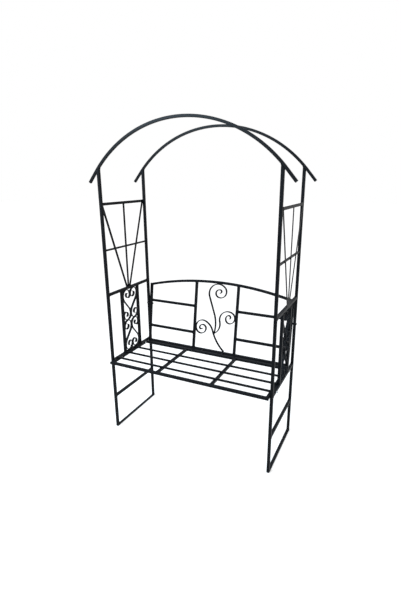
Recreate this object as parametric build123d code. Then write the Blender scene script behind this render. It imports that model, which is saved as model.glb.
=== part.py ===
from build123d import *
import os
from math import atan2, cos, degrees, radians, sin, sqrt

# An arbor with a bench in it, of welded and bolted steel.
# Millimetres. X runs across the seat, +Y to the back, +Z up. The ground is z = 0, and
# the origin is under the middle of the bench's overall width and depth.
# Left and right are as seen from the front. Heights are those of centre lines.
# In the model y = 0 lies halfway between the front and back posts: save() moves it.

# Stock
tube = 16.0
tube_wall = 1.0
arch_tube = 14.0
arch_wall = 1.0
bar = 10.0
strip = 3.0
strip_width = 16.0
ornament_strip = 6.0
sill_width = 18.0
sill_thick = 5.0

# Side panels: posts, rails and the fan of strips in the upper bay
frame_width = 1000.0
frame_depth = 420.0
stretcher_height = 217.0
seat_height = 458.0
arm_height = 873.0
mid_height = 1134.0
top_height = 1389.0
fan_foot_reach = 16.5
fan_top_inset = 8.5

# Scrolls between the seat and the arm
scroll_post_reach = 82.0
scroll_bend_share = 0.77
scroll_inner_radius = 20.0
scroll_tip_radius = 12.0
scroll_tip_angle = 90.0

# Arches, whose bends end a little way out past the posts
arch_apex = 1799.0
arch_overhang = 17.0
arch_half_angle = 50.0
arch_tail = 69.0

# Plugs in the feet and caps on the arches' ends
plug_head = 2.0
plug_depth = 12.0
plug_clearance = 0.2

# Seat, its reach to the front and the back from halfway between the posts
seat_front_reach = 238.0
seat_back_reach = 131.0
seat_cross_bar_reach = 170.0
first_slat_gap = 55.5
slat_pitch = 91.0
slat_count = 3

# Backrest, measured up its own slope from the centre of its bottom rail
recline = 8.2
inner_stile_reach = 142.5
lower_rung_rise = 105.0
upper_rung_rise = 279.0
shoulder_rise = 387.0
crown_rise = 60.0

# Ornament in the backrest: the bends of its three strips, as radius and turn
stem_foot_reach = 69.7
stem_foot_rise = 11.2
stem_heading = 139.5
stem_first_radius = 280.0
stem_second_radius = 90.0
stem_second_angle = 52.0
stem_spiral_angle = 137.0
coil_radius = 35.0
coil_angle = 152.0
curl_radius = 23.0
curl_angle = 165.0
tip_radius = 10.5
tip_angle = 170.0
stem_first_angle = -31.0
branch_rise = 112.9
branch_reach = -4.1
plume_heading = 73.3
plume_foot_radius = 210.0
plume_foot_angle = 37.0
plume_run = 113.0
plume_spiral_angle = -151.0
plume_coil_radius = 39.5
plume_curl_radius = 24.5
leaf_rise = 121.5
leaf_reach = 2.8
leaf_heading = 33.0
leaf_foot_radius = 70.0
leaf_foot_angle = 73.0
leaf_shoulder_radius = 56.0
leaf_shoulder_angle = -134.0
leaf_spiral_angle = -134.0
leaf_curl_radius = 27.0
leaf_tip_radius = 12.5

# Bolts
bolt_size = 6.0
bolt_clearance = 0.4
bolt_head_across = 10.0
bolt_head_height = 4.0
nut_height = 5.0
thread_end = 4.0
spacer_across = 14.0
spacer_thick = 4.0
stile_spacer_count = 1
seat_bolt_post_gap = 55.0
seat_bolt_rail_gap = 18.0
stile_bolt_rise = 256.0
rail_bolt_reach = 70.0

# Worked out from the sizes above
half_width = frame_width / 2
half_depth = frame_depth / 2
half_tube = tube / 2
half_bar = bar / 2
bay_depth = frame_depth - tube
arch_radius = (half_width + arch_overhang) / sin(radians(arch_half_angle))
sides = {"left": -1, "right": 1}
LOWER = (Align.CENTER, Align.CENTER, Align.MIN)
inner_face = half_width - half_tube
outer_face = half_width + half_tube
hole_radius = (bolt_size + bolt_clearance) / 2
overrun = tube + tube

seat_top = seat_height + half_tube
seat_depth = seat_front_reach + seat_back_reach + tube
seat_middle = (seat_back_reach - seat_front_reach) / 2

# The seat is bolted through its side rails, behind the front posts and before its back rail
seat_bolt_places = (seat_bolt_post_gap - half_depth, seat_back_reach - seat_bolt_rail_gap)

# The backrest stands where its bolts, part of the way up, pass through the back posts
back_rail_reach = half_depth - stile_bolt_rise * sin(radians(recline))
back_rail_gap = back_rail_reach - seat_back_reach - tube
outer_stile_reach = inner_face - stile_spacer_count * spacer_thick - half_tube
crown_radius = (outer_stile_reach**2 + crown_rise**2) / (crown_rise + crown_rise)
crown_centre = shoulder_rise + crown_rise - crown_radius

fan_plane = outer_face - strip / 2
fan_foot = arm_height + half_tube
fan_top = top_height - strip_width / 2

back_slope = Plane(
    origin=(0, back_rail_reach, seat_height),
    x_dir=(1, 0, 0),
    z_dir=(0, -cos(radians(recline)), sin(radians(recline))),
)

# The seat's front rail reaches furthest to the front, and the backrest's crown to the back
crown_top = shoulder_rise + crown_rise + half_tube
back_reach = (back_slope * Pos(0, crown_top, -half_tube)).position.Y
middle_depth = (back_reach - seat_front_reach - half_tube) / 2


# Paths of straight runs and bends, and outlines along them


def run(length):
    """A straight stretch of a path."""
    return ("run", length, 0)


def bend(radius, turn):
    """A round stretch of a path: a positive turn, in degrees, is to the left."""
    return ("bend", radius, turn)


def turned(vector, angle):
    """The vector turned to the left by an angle in degrees."""
    return vector.rotate(Axis.Z, angle)


def follow(pose, move, offset):
    """The edge beside one move, at an offset to its left, and the pose at its end."""
    point, heading = pose
    kind, size, turn = move
    along = turned(Vector(1, 0), heading)
    left = turned(along, 90)
    beside = point + left * offset
    if kind == "run":
        edge = Edge.make_line(beside, beside + along * size)
        return edge, (point + along * size, heading)
    centre = point + left * (size if turn > 0 else -size)
    middle = centre + turned(beside - centre, turn / 2)
    edge = Edge.make_three_point_arc(beside, middle, centre + turned(beside - centre, turn))
    return edge, (centre + turned(point - centre, turn), heading + turn)


def parallel(pose, moves, offset):
    """The edges that run beside a path, at an offset to its left."""
    edges = []
    for move in moves:
        edge, pose = follow(pose, move, offset)
        edges.append(edge)
    return edges


def end_of(pose, moves):
    """The point and the heading at the end of a path."""
    for move in moves:
        pose = follow(pose, move, 0)[1]
    return pose


def ribbon(pose, moves, width):
    """A flat outline of an even width along a path."""
    left = parallel(pose, moves, width / 2)
    right = parallel(pose, moves, -width / 2)
    start = Edge.make_line(left[0] @ 0, right[0] @ 0)
    end = Edge.make_line(left[-1] @ 1, right[-1] @ 1)
    return Face(Wire(left + right + [start, end]))


def thicken(plane, outline, width):
    """The outline laid on a plane and made solid by half a width to either side."""
    return extrude(plane * outline, amount=width / 2, both=True)


# Plain stock


def tube_x(x_from, x_to, y, z):
    """A square tube along X."""
    length = x_to - x_from
    bore = tube - 2 * tube_wall
    return Pos((x_from + x_to) / 2, y, z) * (Box(length, tube, tube) - Box(length, bore, bore))


def tube_y(x, y_from, y_to, z):
    """A square tube along Y."""
    return Pos(x, 0, z) * Rot(Z=90) * tube_x(y_from, y_to, 0, 0)


def tube_z(x, y, z_from, z_to):
    """A square tube along Z."""
    return Pos(x, y, 0) * Rot(Y=-90) * tube_x(z_from, z_to, 0, 0)


def hole_x(x, y, z, length):
    """What a bolt hole along X takes away, from x onwards."""
    return Pos(x, y, z) * Rot(Y=90) * Cylinder(hole_radius, length, align=LOWER)


def hole_y(x, y, z, length):
    """What a bolt hole along Y takes away, from y onwards."""
    return Pos(x, y, z) * Rot(X=-90) * Cylinder(hole_radius, length, align=LOWER)


# Arches


def arch_half():
    """An arch's path from its apex to the end of its right tail."""
    return [bend(arch_radius, -arch_half_angle), run(arch_tail)]


def arch_start():
    """Where an arch's path starts, at the end of its left tail."""
    point, heading = end_of((Vector(0, arch_apex), 0), arch_half())
    return (Vector(-point.X, point.Y), -heading)


def arch_moves():
    """An arch's path from tail to tail."""
    tail = run(arch_tail)
    return [tail, bend(arch_radius, -2 * arch_half_angle), tail]


def arch(y):
    """One arch of square tube, with its tails running on straight."""
    plane = Plane.XZ * Pos(0, 0, -y)
    bore = arch_tube - 2 * arch_wall
    outer = thicken(plane, ribbon(arch_start(), arch_moves(), arch_tube), arch_tube)
    return outer - thicken(plane, ribbon(arch_start(), arch_moves(), bore), bore)


def arch_caps():
    """The caps that close the four ends of the arches."""
    point, heading = end_of((Vector(0, arch_apex), 0), arch_half())
    bore = arch_tube - 2 * arch_wall - 2 * plug_clearance
    caps = []
    for y in (-half_depth, half_depth):
        plane = Plane.XZ * Pos(0, 0, -y)
        head = thicken(plane, ribbon((point, heading), [run(plug_head)], arch_tube), arch_tube)
        stem = thicken(plane, ribbon((point, heading), [run(-plug_depth)], bore), bore)
        cap = head + stem
        caps += [cap, mirror(cap, about=Plane.YZ)]
    return caps


def under_arches():
    """The space below the arches' inner faces, which cuts the posts' tops."""
    edges = parallel(arch_start(), arch_moves(), -arch_tube / 2)
    left = edges[0] @ 0
    right = edges[-1] @ 1
    corners = [left, Vector(left.X, 0), Vector(right.X, 0), right]
    sill = [Edge.make_line(a, b) for a, b in zip(corners, corners[1:])]
    return thicken(Plane.XZ, Face(Wire(edges + sill)), frame_depth + overrun)


# Side panels


def post(side, y):
    """A post from its foot plug to the underside of its arch."""
    x = side * half_width
    made = tube_z(x, y, plug_head, arch_apex) & under_arches()
    if y > 0:
        made -= hole_x(x - tube, y, stile_bolt_height(), tube + tube)
    return made


def foot_plugs():
    """The plugs that the four posts stand on."""
    bore = tube - 2 * tube_wall - 2 * plug_clearance
    head = Box(tube, tube, plug_head, align=LOWER)
    stem = Pos(0, 0, plug_head) * Box(bore, bore, plug_depth, align=LOWER)
    plug = head + stem
    return [Pos(x, y) * plug for x in (-half_width, half_width) for y in (-half_depth, half_depth)]


def seat_support(side):
    """The side panel's rail that the seat is bolted to."""
    x = side * half_width
    rail = tube_y(x, -bay_depth / 2, bay_depth / 2, seat_height)
    for y in seat_bolt_places:
        rail -= hole_x(x - tube, y, seat_height, tube + tube)
    return rail


def sill(side):
    """The flat bar between the feet of a side panel."""
    z = plug_head + sill_thick / 2
    return Pos(side * half_width, 0, z) * Box(sill_width, bay_depth, sill_thick)


def mid_rail(side):
    """The square bar behind the fan strips."""
    x = side * (fan_plane - strip / 2 - half_bar)
    return Pos(x, 0, mid_height) * Box(bar, bay_depth, bar)


def top_rail(side):
    """The strip on edge that the fan ends under."""
    return Pos(side * fan_plane, 0, top_height) * Box(strip, bay_depth, strip_width)


def fan_center(side):
    """The upright strip in the middle of the fan."""
    middle = (fan_foot + fan_top) / 2
    return Pos(side * fan_plane, 0, middle) * Box(strip, strip_width, fan_top - fan_foot)


def fan_slant(side, end):
    """A leaning fan strip, from the middle strip's foot to the corner by a post."""
    rise = fan_top - fan_foot
    spread = bay_depth / 2 - fan_top_inset - fan_foot_reach
    lean = degrees(atan2(spread, rise))
    middle_y = fan_foot_reach + spread / 2
    band = Rot(X=-lean) * Box(strip, strip_width, rise + frame_depth)
    bay = bay_depth / 2 - strip_width / 2
    room = Pos(0, bay_depth / 2 - bay / 2, 0) * Box(strip, bay, rise)
    slant = Pos(side * fan_plane, 0, (fan_foot + fan_top) / 2) * (Pos(0, middle_y, 0) * band & room)
    return slant if end > 0 else mirror(slant, about=Plane.XZ)


# Scrolls


def scroll_stiles(side):
    """The two uprights that hold the scrolls."""
    x = side * half_width
    low = seat_top
    high = arm_height - half_tube
    return [tube_z(x, y, low, high) for y in (-scroll_post_reach, scroll_post_reach)]


def scroll(side, end, level):
    """One S-shaped strip, touching an upright, its twin and a rail.

    It is two loops as wide as its bay, joined by a diagonal, and each loop curls in.
    """
    bay = scroll_post_reach - half_tube
    middle = (seat_height + arm_height) / 2
    height = (arm_height - seat_height - tube) / 2
    across = bay - strip
    loop = across / 2
    up = height - bay
    widest = (across**2 + up**2) / (4 * across)
    radius = widest * scroll_bend_share
    diagonal = sqrt(4 * across * (widest - radius))
    lean = degrees(atan2(2 * radius, diagonal) + atan2(across - 2 * radius, up))
    curls = [
        bend(radius, lean),
        bend(loop, 180),
        bend(scroll_inner_radius, 180),
        bend(scroll_tip_radius, scroll_tip_angle),
    ]
    center = Vector(bay / 2, height / 2)
    tip, heading = end_of((center, 90 - lean), [run(diagonal / 2)] + curls)
    uncurls = [bend(size, -turn) for kind, size, turn in reversed(curls)]
    outline = ribbon((center + center - tip, heading), uncurls + [run(diagonal)] + curls, strip)
    plane = Plane(origin=(side * half_width, 0, 0), x_dir=(0, 1, 0), z_dir=(1, 0, 0))
    made = thicken(plane, outline, strip_width)
    if end < 0:
        made = mirror(made, about=Plane.XZ)
    if level < 0:
        made = mirror(made, about=Plane.XY)
    return Pos(0, 0, middle) * made


# Seat


def mitred_tube(length, reach):
    """A tube along X, cut at 45 degrees at both ends, whose outer face is at y = -reach."""
    half = length / 2

    def layer(inset, height):
        near = -reach + inset
        far = -reach + tube - inset
        long_half = half - inset
        short_half = half - tube + inset
        corners = [(-long_half, near), (long_half, near), (short_half, far), (-short_half, far)]
        edges = [Edge.make_line(a, b) for a, b in zip(corners, corners[1:] + corners[:1])]
        return thicken(Plane.XY, Face(Wire(edges)), height)

    return layer(0, tube) - layer(tube_wall, tube - 2 * tube_wall)


def seat_frame():
    """The four mitred rails of the seat's frame."""
    at = Pos(0, seat_middle, seat_height)
    width = inner_face + inner_face
    front = at * mitred_tube(width, seat_depth / 2)
    back = at * Rot(Z=180) * mitred_tube(width, seat_depth / 2)
    right = at * Rot(Z=90) * mitred_tube(seat_depth, inner_face)
    left = at * Rot(Z=-90) * mitred_tube(seat_depth, inner_face)
    for y in seat_bolt_places:
        right -= hole_x(inner_face - tube - tube, y, seat_height, tube + tube + tube)
        left -= hole_x(-inner_face - tube, y, seat_height, tube + tube + tube)
    for x in (-rail_bolt_reach, rail_bolt_reach):
        back -= hole_y(x, seat_back_reach - tube, seat_height, tube + tube)
    return {
        "seat_front_rail": front,
        "seat_back_rail": back,
        "seat_left_rail": left,
        "seat_right_rail": right,
    }


def seat_cross_bar(side):
    """A tube from the seat's front rail to its back rail."""
    x = side * seat_cross_bar_reach
    return tube_y(x, -seat_front_reach + half_tube, seat_back_reach - half_tube, seat_height)


def slat(number):
    """A square bar lying on the seat's frame."""
    y = -seat_front_reach + first_slat_gap + number * slat_pitch
    return Pos(0, y, seat_top + half_bar) * Box(inner_face + inner_face, bar, bar)


# Backrest


def above(height):
    """All the space at the backrest that lies above a height."""
    size = Box(frame_width, frame_width, frame_width, align=LOWER)
    return Pos(0, 0, height) * size


def shoulder(side):
    """The line along which a stile and the crown are mitred, as two far points."""
    lean = atan2(outer_stile_reach, crown_radius - crown_rise)
    corner = Vector(side * outer_stile_reach, shoulder_rise)
    down = Vector(0, -1)
    inward = Vector(-side * cos(lean), sin(lean))
    along = (down + inward).normalized() * (overrun + tube)
    return corner + along, corner - along


def closed_outline(corners):
    """A flat outline with straight sides."""
    edges = [Edge.make_line(a, b) for a, b in zip(corners, corners[1:] + corners[:1])]
    return Face(Wire(edges))


def slope_tube(u, v_from, v_to):
    """A square tube up the backrest's slope."""
    bore = tube - 2 * tube_wall
    made = Box(tube, v_to - v_from, tube) - Box(bore, v_to - v_from, bore)
    return back_slope * Pos(u, (v_from + v_to) / 2, 0) * made


def back_rail():
    """The backrest's bottom rail, level with the seat and between the outer stiles."""
    end = outer_stile_reach - half_tube
    rail = tube_x(-end, end, back_rail_reach, seat_height)
    for x in (-rail_bolt_reach, rail_bolt_reach):
        rail -= hole_y(x, back_rail_reach - tube, seat_height, tube + tube)
    return rail


def crown():
    """The backrest's arched top rail, mitred to the outer stiles."""
    start = (Vector(0, shoulder_rise + crown_rise), 0)
    turn = degrees(atan2(outer_stile_reach + tube, crown_radius - crown_rise))
    bore = tube - 2 * tube_wall
    point, heading = end_of(start, [bend(crown_radius, -turn)])
    pose = (Vector(-point.X, point.Y), -heading)
    moves = [bend(crown_radius, -2 * turn)]
    whole = thicken(back_slope, ribbon(pose, moves, tube), tube)
    whole -= thicken(back_slope, ribbon(pose, moves, bore), bore)
    right_low, right_high = shoulder(1)
    left_low, left_high = shoulder(-1)
    top = shoulder_rise + crown_rise + overrun
    corners = [right_low, right_high, Vector(right_high.X, top), Vector(left_high.X, top)]
    room = thicken(back_slope, closed_outline(corners + [left_high, left_low]), tube)
    return whole & room


def outer_stile(side):
    """An outer upright of the backrest, from its bottom rail's underside to the mitre."""
    low, high = shoulder(side)
    corners = [low, high, Vector(high.X, -overrun), Vector(low.X, -overrun)]
    room = thicken(back_slope, closed_outline(corners), tube)
    u = side * outer_stile_reach
    made = slope_tube(u, -overrun, shoulder_rise + overrun) & room & above(seat_height - half_tube)
    return made - hole_x(u - tube, half_depth, stile_bolt_height(), tube + tube)


def inner_stile(side):
    """An inner upright of the backrest, from its bottom rail to under the crown."""
    under = Pos(0, crown_centre) * Circle(crown_radius - half_tube)
    u = side * inner_stile_reach
    made = slope_tube(u, -overrun, shoulder_rise + crown_rise)
    return made & thicken(back_slope, under, tube) & above(seat_top)


def rungs(side):
    """The two short rails between an inner and an outer stile."""
    length = outer_stile_reach - inner_stile_reach - tube
    bore = tube - 2 * tube_wall
    rung = Box(length, tube, tube) - Box(length, bore, bore)
    u = side * (outer_stile_reach + inner_stile_reach) / 2
    return [back_slope * Pos(u, v, 0) * rung for v in (lower_rung_rise, upper_rung_rise)]


# Ornament


def touching_radius(pose, side, wall):
    """The radius of a bend that just touches an upright line beside it.

    The wall is the line's place, and the side is -1 where it lies to the left of the bend.
    """
    point, heading = pose
    turn = 1 if side < 0 else -1
    left = turned(Vector(1, 0), heading + 90) * turn
    return (wall - point.X) / (left.X + side)


def touching_crown(pose):
    """The radius of a bend to the right that just touches the crown's underside."""
    point, heading = pose
    centre = Vector(0, crown_centre)
    reach = crown_radius - half_tube - ornament_strip / 2
    gap = point - centre
    right = turned(Vector(1, 0), heading - 90)
    return (reach**2 - gap.dot(gap)) / (2 * (right.dot(gap) + reach))


def stem_path():
    """From the bottom rail up and to the left, ending in the left spiral."""
    pose = (Vector(stem_foot_reach, stem_foot_rise), stem_heading)
    foot = [bend(stem_first_radius, stem_first_angle), bend(stem_second_radius, stem_second_angle)]
    wall = -inner_stile_reach + half_tube + ornament_strip / 2
    spiral = touching_radius(end_of(pose, foot), -1, wall)
    coils = [bend(spiral, stem_spiral_angle), bend(coil_radius, coil_angle)]
    return pose, foot + coils + [bend(curl_radius, curl_angle), bend(tip_radius, tip_angle)]


def plume_path():
    """From the stem up to the spiral under the crown."""
    pose = (Vector(branch_reach, branch_rise), plume_heading)
    foot = [bend(plume_foot_radius, plume_foot_angle), run(plume_run)]
    spiral = touching_crown(end_of(pose, foot))
    coils = [bend(spiral, plume_spiral_angle), bend(plume_coil_radius, -curl_angle)]
    return pose, foot + coils + [bend(plume_curl_radius, -curl_angle), bend(tip_radius, -tip_angle)]


def leaf_path():
    """From the stem to the spiral at the right inner stile."""
    pose = (Vector(leaf_reach, leaf_rise), leaf_heading)
    foot = [bend(leaf_foot_radius, leaf_foot_angle), bend(leaf_shoulder_radius, leaf_shoulder_angle)]
    wall = inner_stile_reach - half_tube - ornament_strip / 2
    spiral = touching_radius(end_of(pose, foot), 1, wall)
    coils = [bend(spiral, leaf_spiral_angle), bend(leaf_curl_radius, -curl_angle)]
    return pose, foot + coils + [bend(leaf_tip_radius, -tip_angle)]


def ornament():
    """The three bent strips, each cut where it meets the one before."""
    stem, plume, leaf = [
        thicken(back_slope, ribbon(pose, moves, ornament_strip), strip_width)
        for pose, moves in (stem_path(), plume_path(), leaf_path())
    ]
    stem &= above(seat_top)
    plume -= stem
    leaf -= stem + plume
    return {"ornament_stem": stem, "ornament_plume": plume, "ornament_leaf": leaf}


# Fasteners


def stile_bolt_height():
    """The height at which the backrest is bolted to the back posts."""
    return (back_slope * Pos(0, stile_bolt_rise, 0)).position.Z


def hexagon(height):
    """A hexagonal block, standing on z = 0."""
    outline = RegularPolygon(bolt_head_across / 2, 6, major_radius=False)
    return extrude(outline, amount=height)


def bolt(grip):
    """A bolt with its nut: the head is below z = 0, and the nut holds at the grip."""
    shank = Cylinder(bolt_size / 2, grip + nut_height + thread_end, align=LOWER)
    head = Pos(0, 0, -bolt_head_height) * hexagon(bolt_head_height)
    nut = Pos(0, 0, grip) * hexagon(nut_height) - shank
    return [head + shank, nut]


def place(solids, location):
    """The same solids at another place."""
    return [location * solid for solid in solids]


def seat_bolts():
    """The bolts from the seat's side rails out through the side panels."""
    start = inner_face - tube
    made = []
    for side in (-1, 1):
        for y in seat_bolt_places:
            at = Pos(side * start, y, seat_height) * Rot(Y=side * 90)
            made += place(bolt(outer_face - start), at)
    return made


def stile_bolts():
    """The bolts from outside the back posts in through the backrest's outer stiles."""
    end = outer_stile_reach - half_tube
    z = stile_bolt_height()
    made = []
    for side in (-1, 1):
        at = Pos(side * outer_face, half_depth, z) * Rot(Y=-side * 90)
        made += place(bolt(outer_face - end), at)
    return made


def rail_bolts():
    """The bolts from the seat's back rail back through the backrest's bottom rail."""
    start = seat_back_reach - half_tube
    made = []
    for x in (-rail_bolt_reach, rail_bolt_reach):
        at = Pos(x, start, seat_height) * Rot(X=-90)
        made += place(bolt(tube + back_rail_gap + tube), at)
    return made


def ring(length):
    """A spacer ring or sleeve for a bolt, standing on z = 0."""
    outer = Cylinder(spacer_across / 2, length, align=LOWER)
    return outer - Cylinder(hole_radius, length, align=LOWER)


def stile_spacers():
    """The rings that fill the gaps between the backrest and the back posts."""
    made = []
    for side in (-1, 1):
        for number in range(stile_spacer_count):
            x = inner_face - number * spacer_thick
            at = Pos(side * x, half_depth, stile_bolt_height()) * Rot(Y=-side * 90)
            made.append(at * ring(spacer_thick))
    return made


def rail_spacers():
    """The sleeves that hold the backrest's bottom rail away from the seat's back rail."""
    start = seat_back_reach + half_tube
    sleeve = Rot(X=-90) * ring(back_rail_gap)
    return [Pos(x, start, seat_height) * sleeve for x in (-rail_bolt_reach, rail_bolt_reach)]


# Everything together


def panel(name, side):
    """All the pieces of one side panel."""
    x = side * half_width
    half_bay = bay_depth / 2
    made = {
        "front_post": post(side, -half_depth),
        "back_post": post(side, half_depth),
        "sill": sill(side),
        "stretcher": tube_y(x, -half_bay, half_bay, stretcher_height),
        "seat_support": seat_support(side),
        "arm_rail": tube_y(x, -half_bay, half_bay, arm_height),
        "mid_rail": mid_rail(side),
        "top_rail": top_rail(side),
        "fan_center": fan_center(side),
        "fan_front": fan_slant(side, -1),
        "fan_back": fan_slant(side, 1),
        "scroll_stiles": scroll_stiles(side),
        "scroll_upper_front": scroll(side, -1, 1),
        "scroll_upper_back": scroll(side, 1, 1),
        "scroll_lower_front": scroll(side, -1, -1),
        "scroll_lower_back": scroll(side, 1, -1),
    }
    return {name + "_" + piece: shape for piece, shape in made.items()}


def bench():
    """Every piece of the arbor bench, by name."""
    pieces = {"front_arch": arch(-half_depth), "back_arch": arch(half_depth)}
    pieces["arch_caps"] = arch_caps()
    pieces["foot_plugs"] = foot_plugs()
    pieces.update(seat_frame())
    pieces["back_bottom_rail"] = back_rail()
    pieces["back_crown_rail"] = crown()
    for name, side in sides.items():
        pieces.update(panel(name, side))
        pieces["seat_" + name + "_cross_bar"] = seat_cross_bar(side)
        pieces["back_" + name + "_outer_stile"] = outer_stile(side)
        pieces["back_" + name + "_inner_stile"] = inner_stile(side)
        pieces["back_" + name + "_rungs"] = rungs(side)
    for number in range(slat_count):
        pieces["seat_slat_" + str(number + 1)] = slat(number)
    pieces.update(ornament())
    pieces["seat_bolts"] = seat_bolts()
    pieces["stile_bolts"] = stile_bolts()
    pieces["rail_bolts"] = rail_bolts()
    pieces["spacers"] = stile_spacers() + rail_spacers()
    return pieces


def save(name, shape):
    """Writes one piece, or a group of separate ones, with the origin under the middle."""
    whole = Compound(shape) if isinstance(shape, list) else shape
    export_step(Pos(0, -middle_depth, 0) * whole, "parts/" + name + ".step")


os.makedirs("parts", exist_ok=True)
for name, shape in bench().items():
    save(name, shape)
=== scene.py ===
import logging
from dataclasses import dataclass, field
from enum import Enum
from math import acos, atan2, ceil, cos, degrees, hypot, pi, radians, sin, sqrt, tau
from typing import Sequence

import bpy
import numpy as np
from mathutils import Matrix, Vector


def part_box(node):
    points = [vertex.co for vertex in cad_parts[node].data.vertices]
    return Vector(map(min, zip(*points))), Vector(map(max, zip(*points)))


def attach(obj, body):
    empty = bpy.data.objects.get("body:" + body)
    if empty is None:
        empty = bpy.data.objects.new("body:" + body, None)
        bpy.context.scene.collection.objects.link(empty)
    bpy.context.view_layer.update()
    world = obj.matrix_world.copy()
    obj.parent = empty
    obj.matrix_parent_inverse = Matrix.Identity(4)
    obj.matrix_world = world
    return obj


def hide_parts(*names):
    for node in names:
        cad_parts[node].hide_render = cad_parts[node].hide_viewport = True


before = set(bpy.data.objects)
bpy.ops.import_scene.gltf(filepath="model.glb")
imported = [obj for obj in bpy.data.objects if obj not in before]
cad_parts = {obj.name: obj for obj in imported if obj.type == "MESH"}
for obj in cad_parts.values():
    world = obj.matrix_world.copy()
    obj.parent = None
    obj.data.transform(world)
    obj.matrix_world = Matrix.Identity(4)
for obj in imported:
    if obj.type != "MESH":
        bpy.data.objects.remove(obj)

# An arbor with a bench in it, of welded and bolted steel, with its finishes and the studio.
# Metres. X runs across the seat, +Y to the back, +Z up, and the ground is z = 0.
# Left and right are as seen from the front.

LOG = logging.getLogger("arbor_bench")
X_AXIS = np.array([1.0, 0.0, 0.0])
Y_AXIS = np.array([0.0, 1.0, 0.0])
Z_AXIS = np.array([0.0, 0.0, 1.0])
# How far a bead reaches from the middle of a strip's edge, as a share of the strip's width
SEAM_SHARE = 0.42


# Surfaces


@dataclass
class Surface:
    """The vertices and faces of a piece while it is made.

    Args:
        points: One row of three coordinates for each vertex.
        quads: One row of four vertex numbers for each four-sided face.
        caps: One array of vertex numbers for each end face.
    """

    points: np.ndarray
    quads: np.ndarray
    caps: list[np.ndarray] = field(default_factory=list)

    def volume(self) -> float:
        """The enclosed volume: each triangle adds a sixth of the product of its corners."""
        fans = [np.stack([np.full(len(c) - 2, c[0]), c[1:-1], c[2:]], axis=1) for c in self.caps]
        triangles = np.concatenate([self.quads[:, [0, 1, 2]], self.quads[:, [0, 2, 3]], *fans])
        a, b, c = np.moveaxis(self.points[triangles], 1, 0)
        return float(np.einsum("ij,ij->", a, np.cross(b, c)) / 6)

    def facing_out(self) -> "Surface":
        """The same surface with its faces turned outwards."""
        if self.volume() < 0:
            self.quads = self.quads[:, ::-1]
            self.caps = [cap[::-1] for cap in self.caps]
        return self


def skin(rings: np.ndarray, closed: bool = False) -> Surface:
    """Lays four-sided faces between neighbouring rings of points.

    Args:
        rings: The points, as rings x points in a ring x 3.
        closed: True where the last ring joins the first, and otherwise both ends get a face.

    Returns:
        A closed surface whose faces look outwards.
    """
    count, around = rings.shape[:2]
    index = np.arange(count * around).reshape(count, around)
    here = index if closed else index[:-1]
    there = np.roll(index, -1, axis=0) if closed else index[1:]
    quads = np.stack([here, np.roll(here, -1, 1), np.roll(there, -1, 1), there], axis=-1)
    caps = [] if closed else [index[0][::-1], index[-1]]
    return Surface(rings.reshape(-1, 3), quads.reshape(-1, 4), caps).facing_out()


def joined(surfaces: Sequence[Surface]) -> Surface:
    """Several surfaces as one, each with its vertex numbers moved up past those before it."""
    starts = np.cumsum([0] + [len(surface.points) for surface in surfaces])
    caps = [cap + start for surface, start in zip(surfaces, starts) for cap in surface.caps]
    return Surface(
        np.concatenate([surface.points for surface in surfaces]),
        np.concatenate([surface.quads + start for surface, start in zip(surfaces, starts)]),
        caps,
    )


def unit(vectors: np.ndarray) -> np.ndarray:
    """The vectors at length one."""
    return vectors / np.linalg.norm(vectors, axis=-1, keepdims=True)


@dataclass(frozen=True)
class Section:
    """A bar's cross-section: a rectangle with round corners.

    Args:
        across: Its size in the plane of the bar's path.
        deep: Its size square to that plane.
        corner: The corners' radius.
        word: What a maker calls such stock.
        corner_steps: Faces round each corner.
        flat_steps: Faces across each flat side.
    """

    across: float
    deep: float
    corner: float
    word: str
    corner_steps: int = 3
    flat_steps: int = 1

    def outline(self, inset: float = 0.0) -> np.ndarray:
        """The section's points, anticlockwise.

        Each corner is a quarter circle about its own centre, and each flat is divided evenly
        from the end of one corner to the start of the next.

        Args:
            inset: How far the outline is drawn in on all sides.

        Returns:
            One row of two coordinates for each point.
        """
        radius = max(self.corner - inset, self.corner / 4)
        half = np.array([self.across, self.deep]) / 2 - inset
        spin = np.arange(4)[:, None] * pi / 2 + np.linspace(0, pi / 2, self.corner_steps + 1)
        signs = np.array([(1, 1), (-1, 1), (-1, -1), (1, -1)])
        corners = (signs * (half - radius))[:, None] + radius * np.stack([np.cos(spin), np.sin(spin)], -1)
        share = np.arange(1, self.flat_steps)[None, :, None] / self.flat_steps
        last, following = corners[:, -1:], np.roll(corners[:, :1], -1, axis=0)
        flats = last + (following - last) * share
        return np.concatenate([corners, flats], axis=1).reshape(-1, 2)


class Stock(Enum):
    """The bars that the bench is made of."""

    TUBE = Section(0.016, 0.016, 0.0022, "tube")
    ARCH_TUBE = Section(0.014, 0.014, 0.0019, "tube")
    SQUARE_BAR = Section(0.010, 0.010, 0.0009, "bar")
    STRIP = Section(0.003, 0.016, 0.0008, "strip")
    ORNAMENT_STRIP = Section(0.006, 0.016, 0.0010, "strip")
    FAN_STRIP = Section(0.016, 0.003, 0.0008, "strip", flat_steps=8)
    SILL_BAR = Section(0.018, 0.005, 0.0009, "bar")


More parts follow.
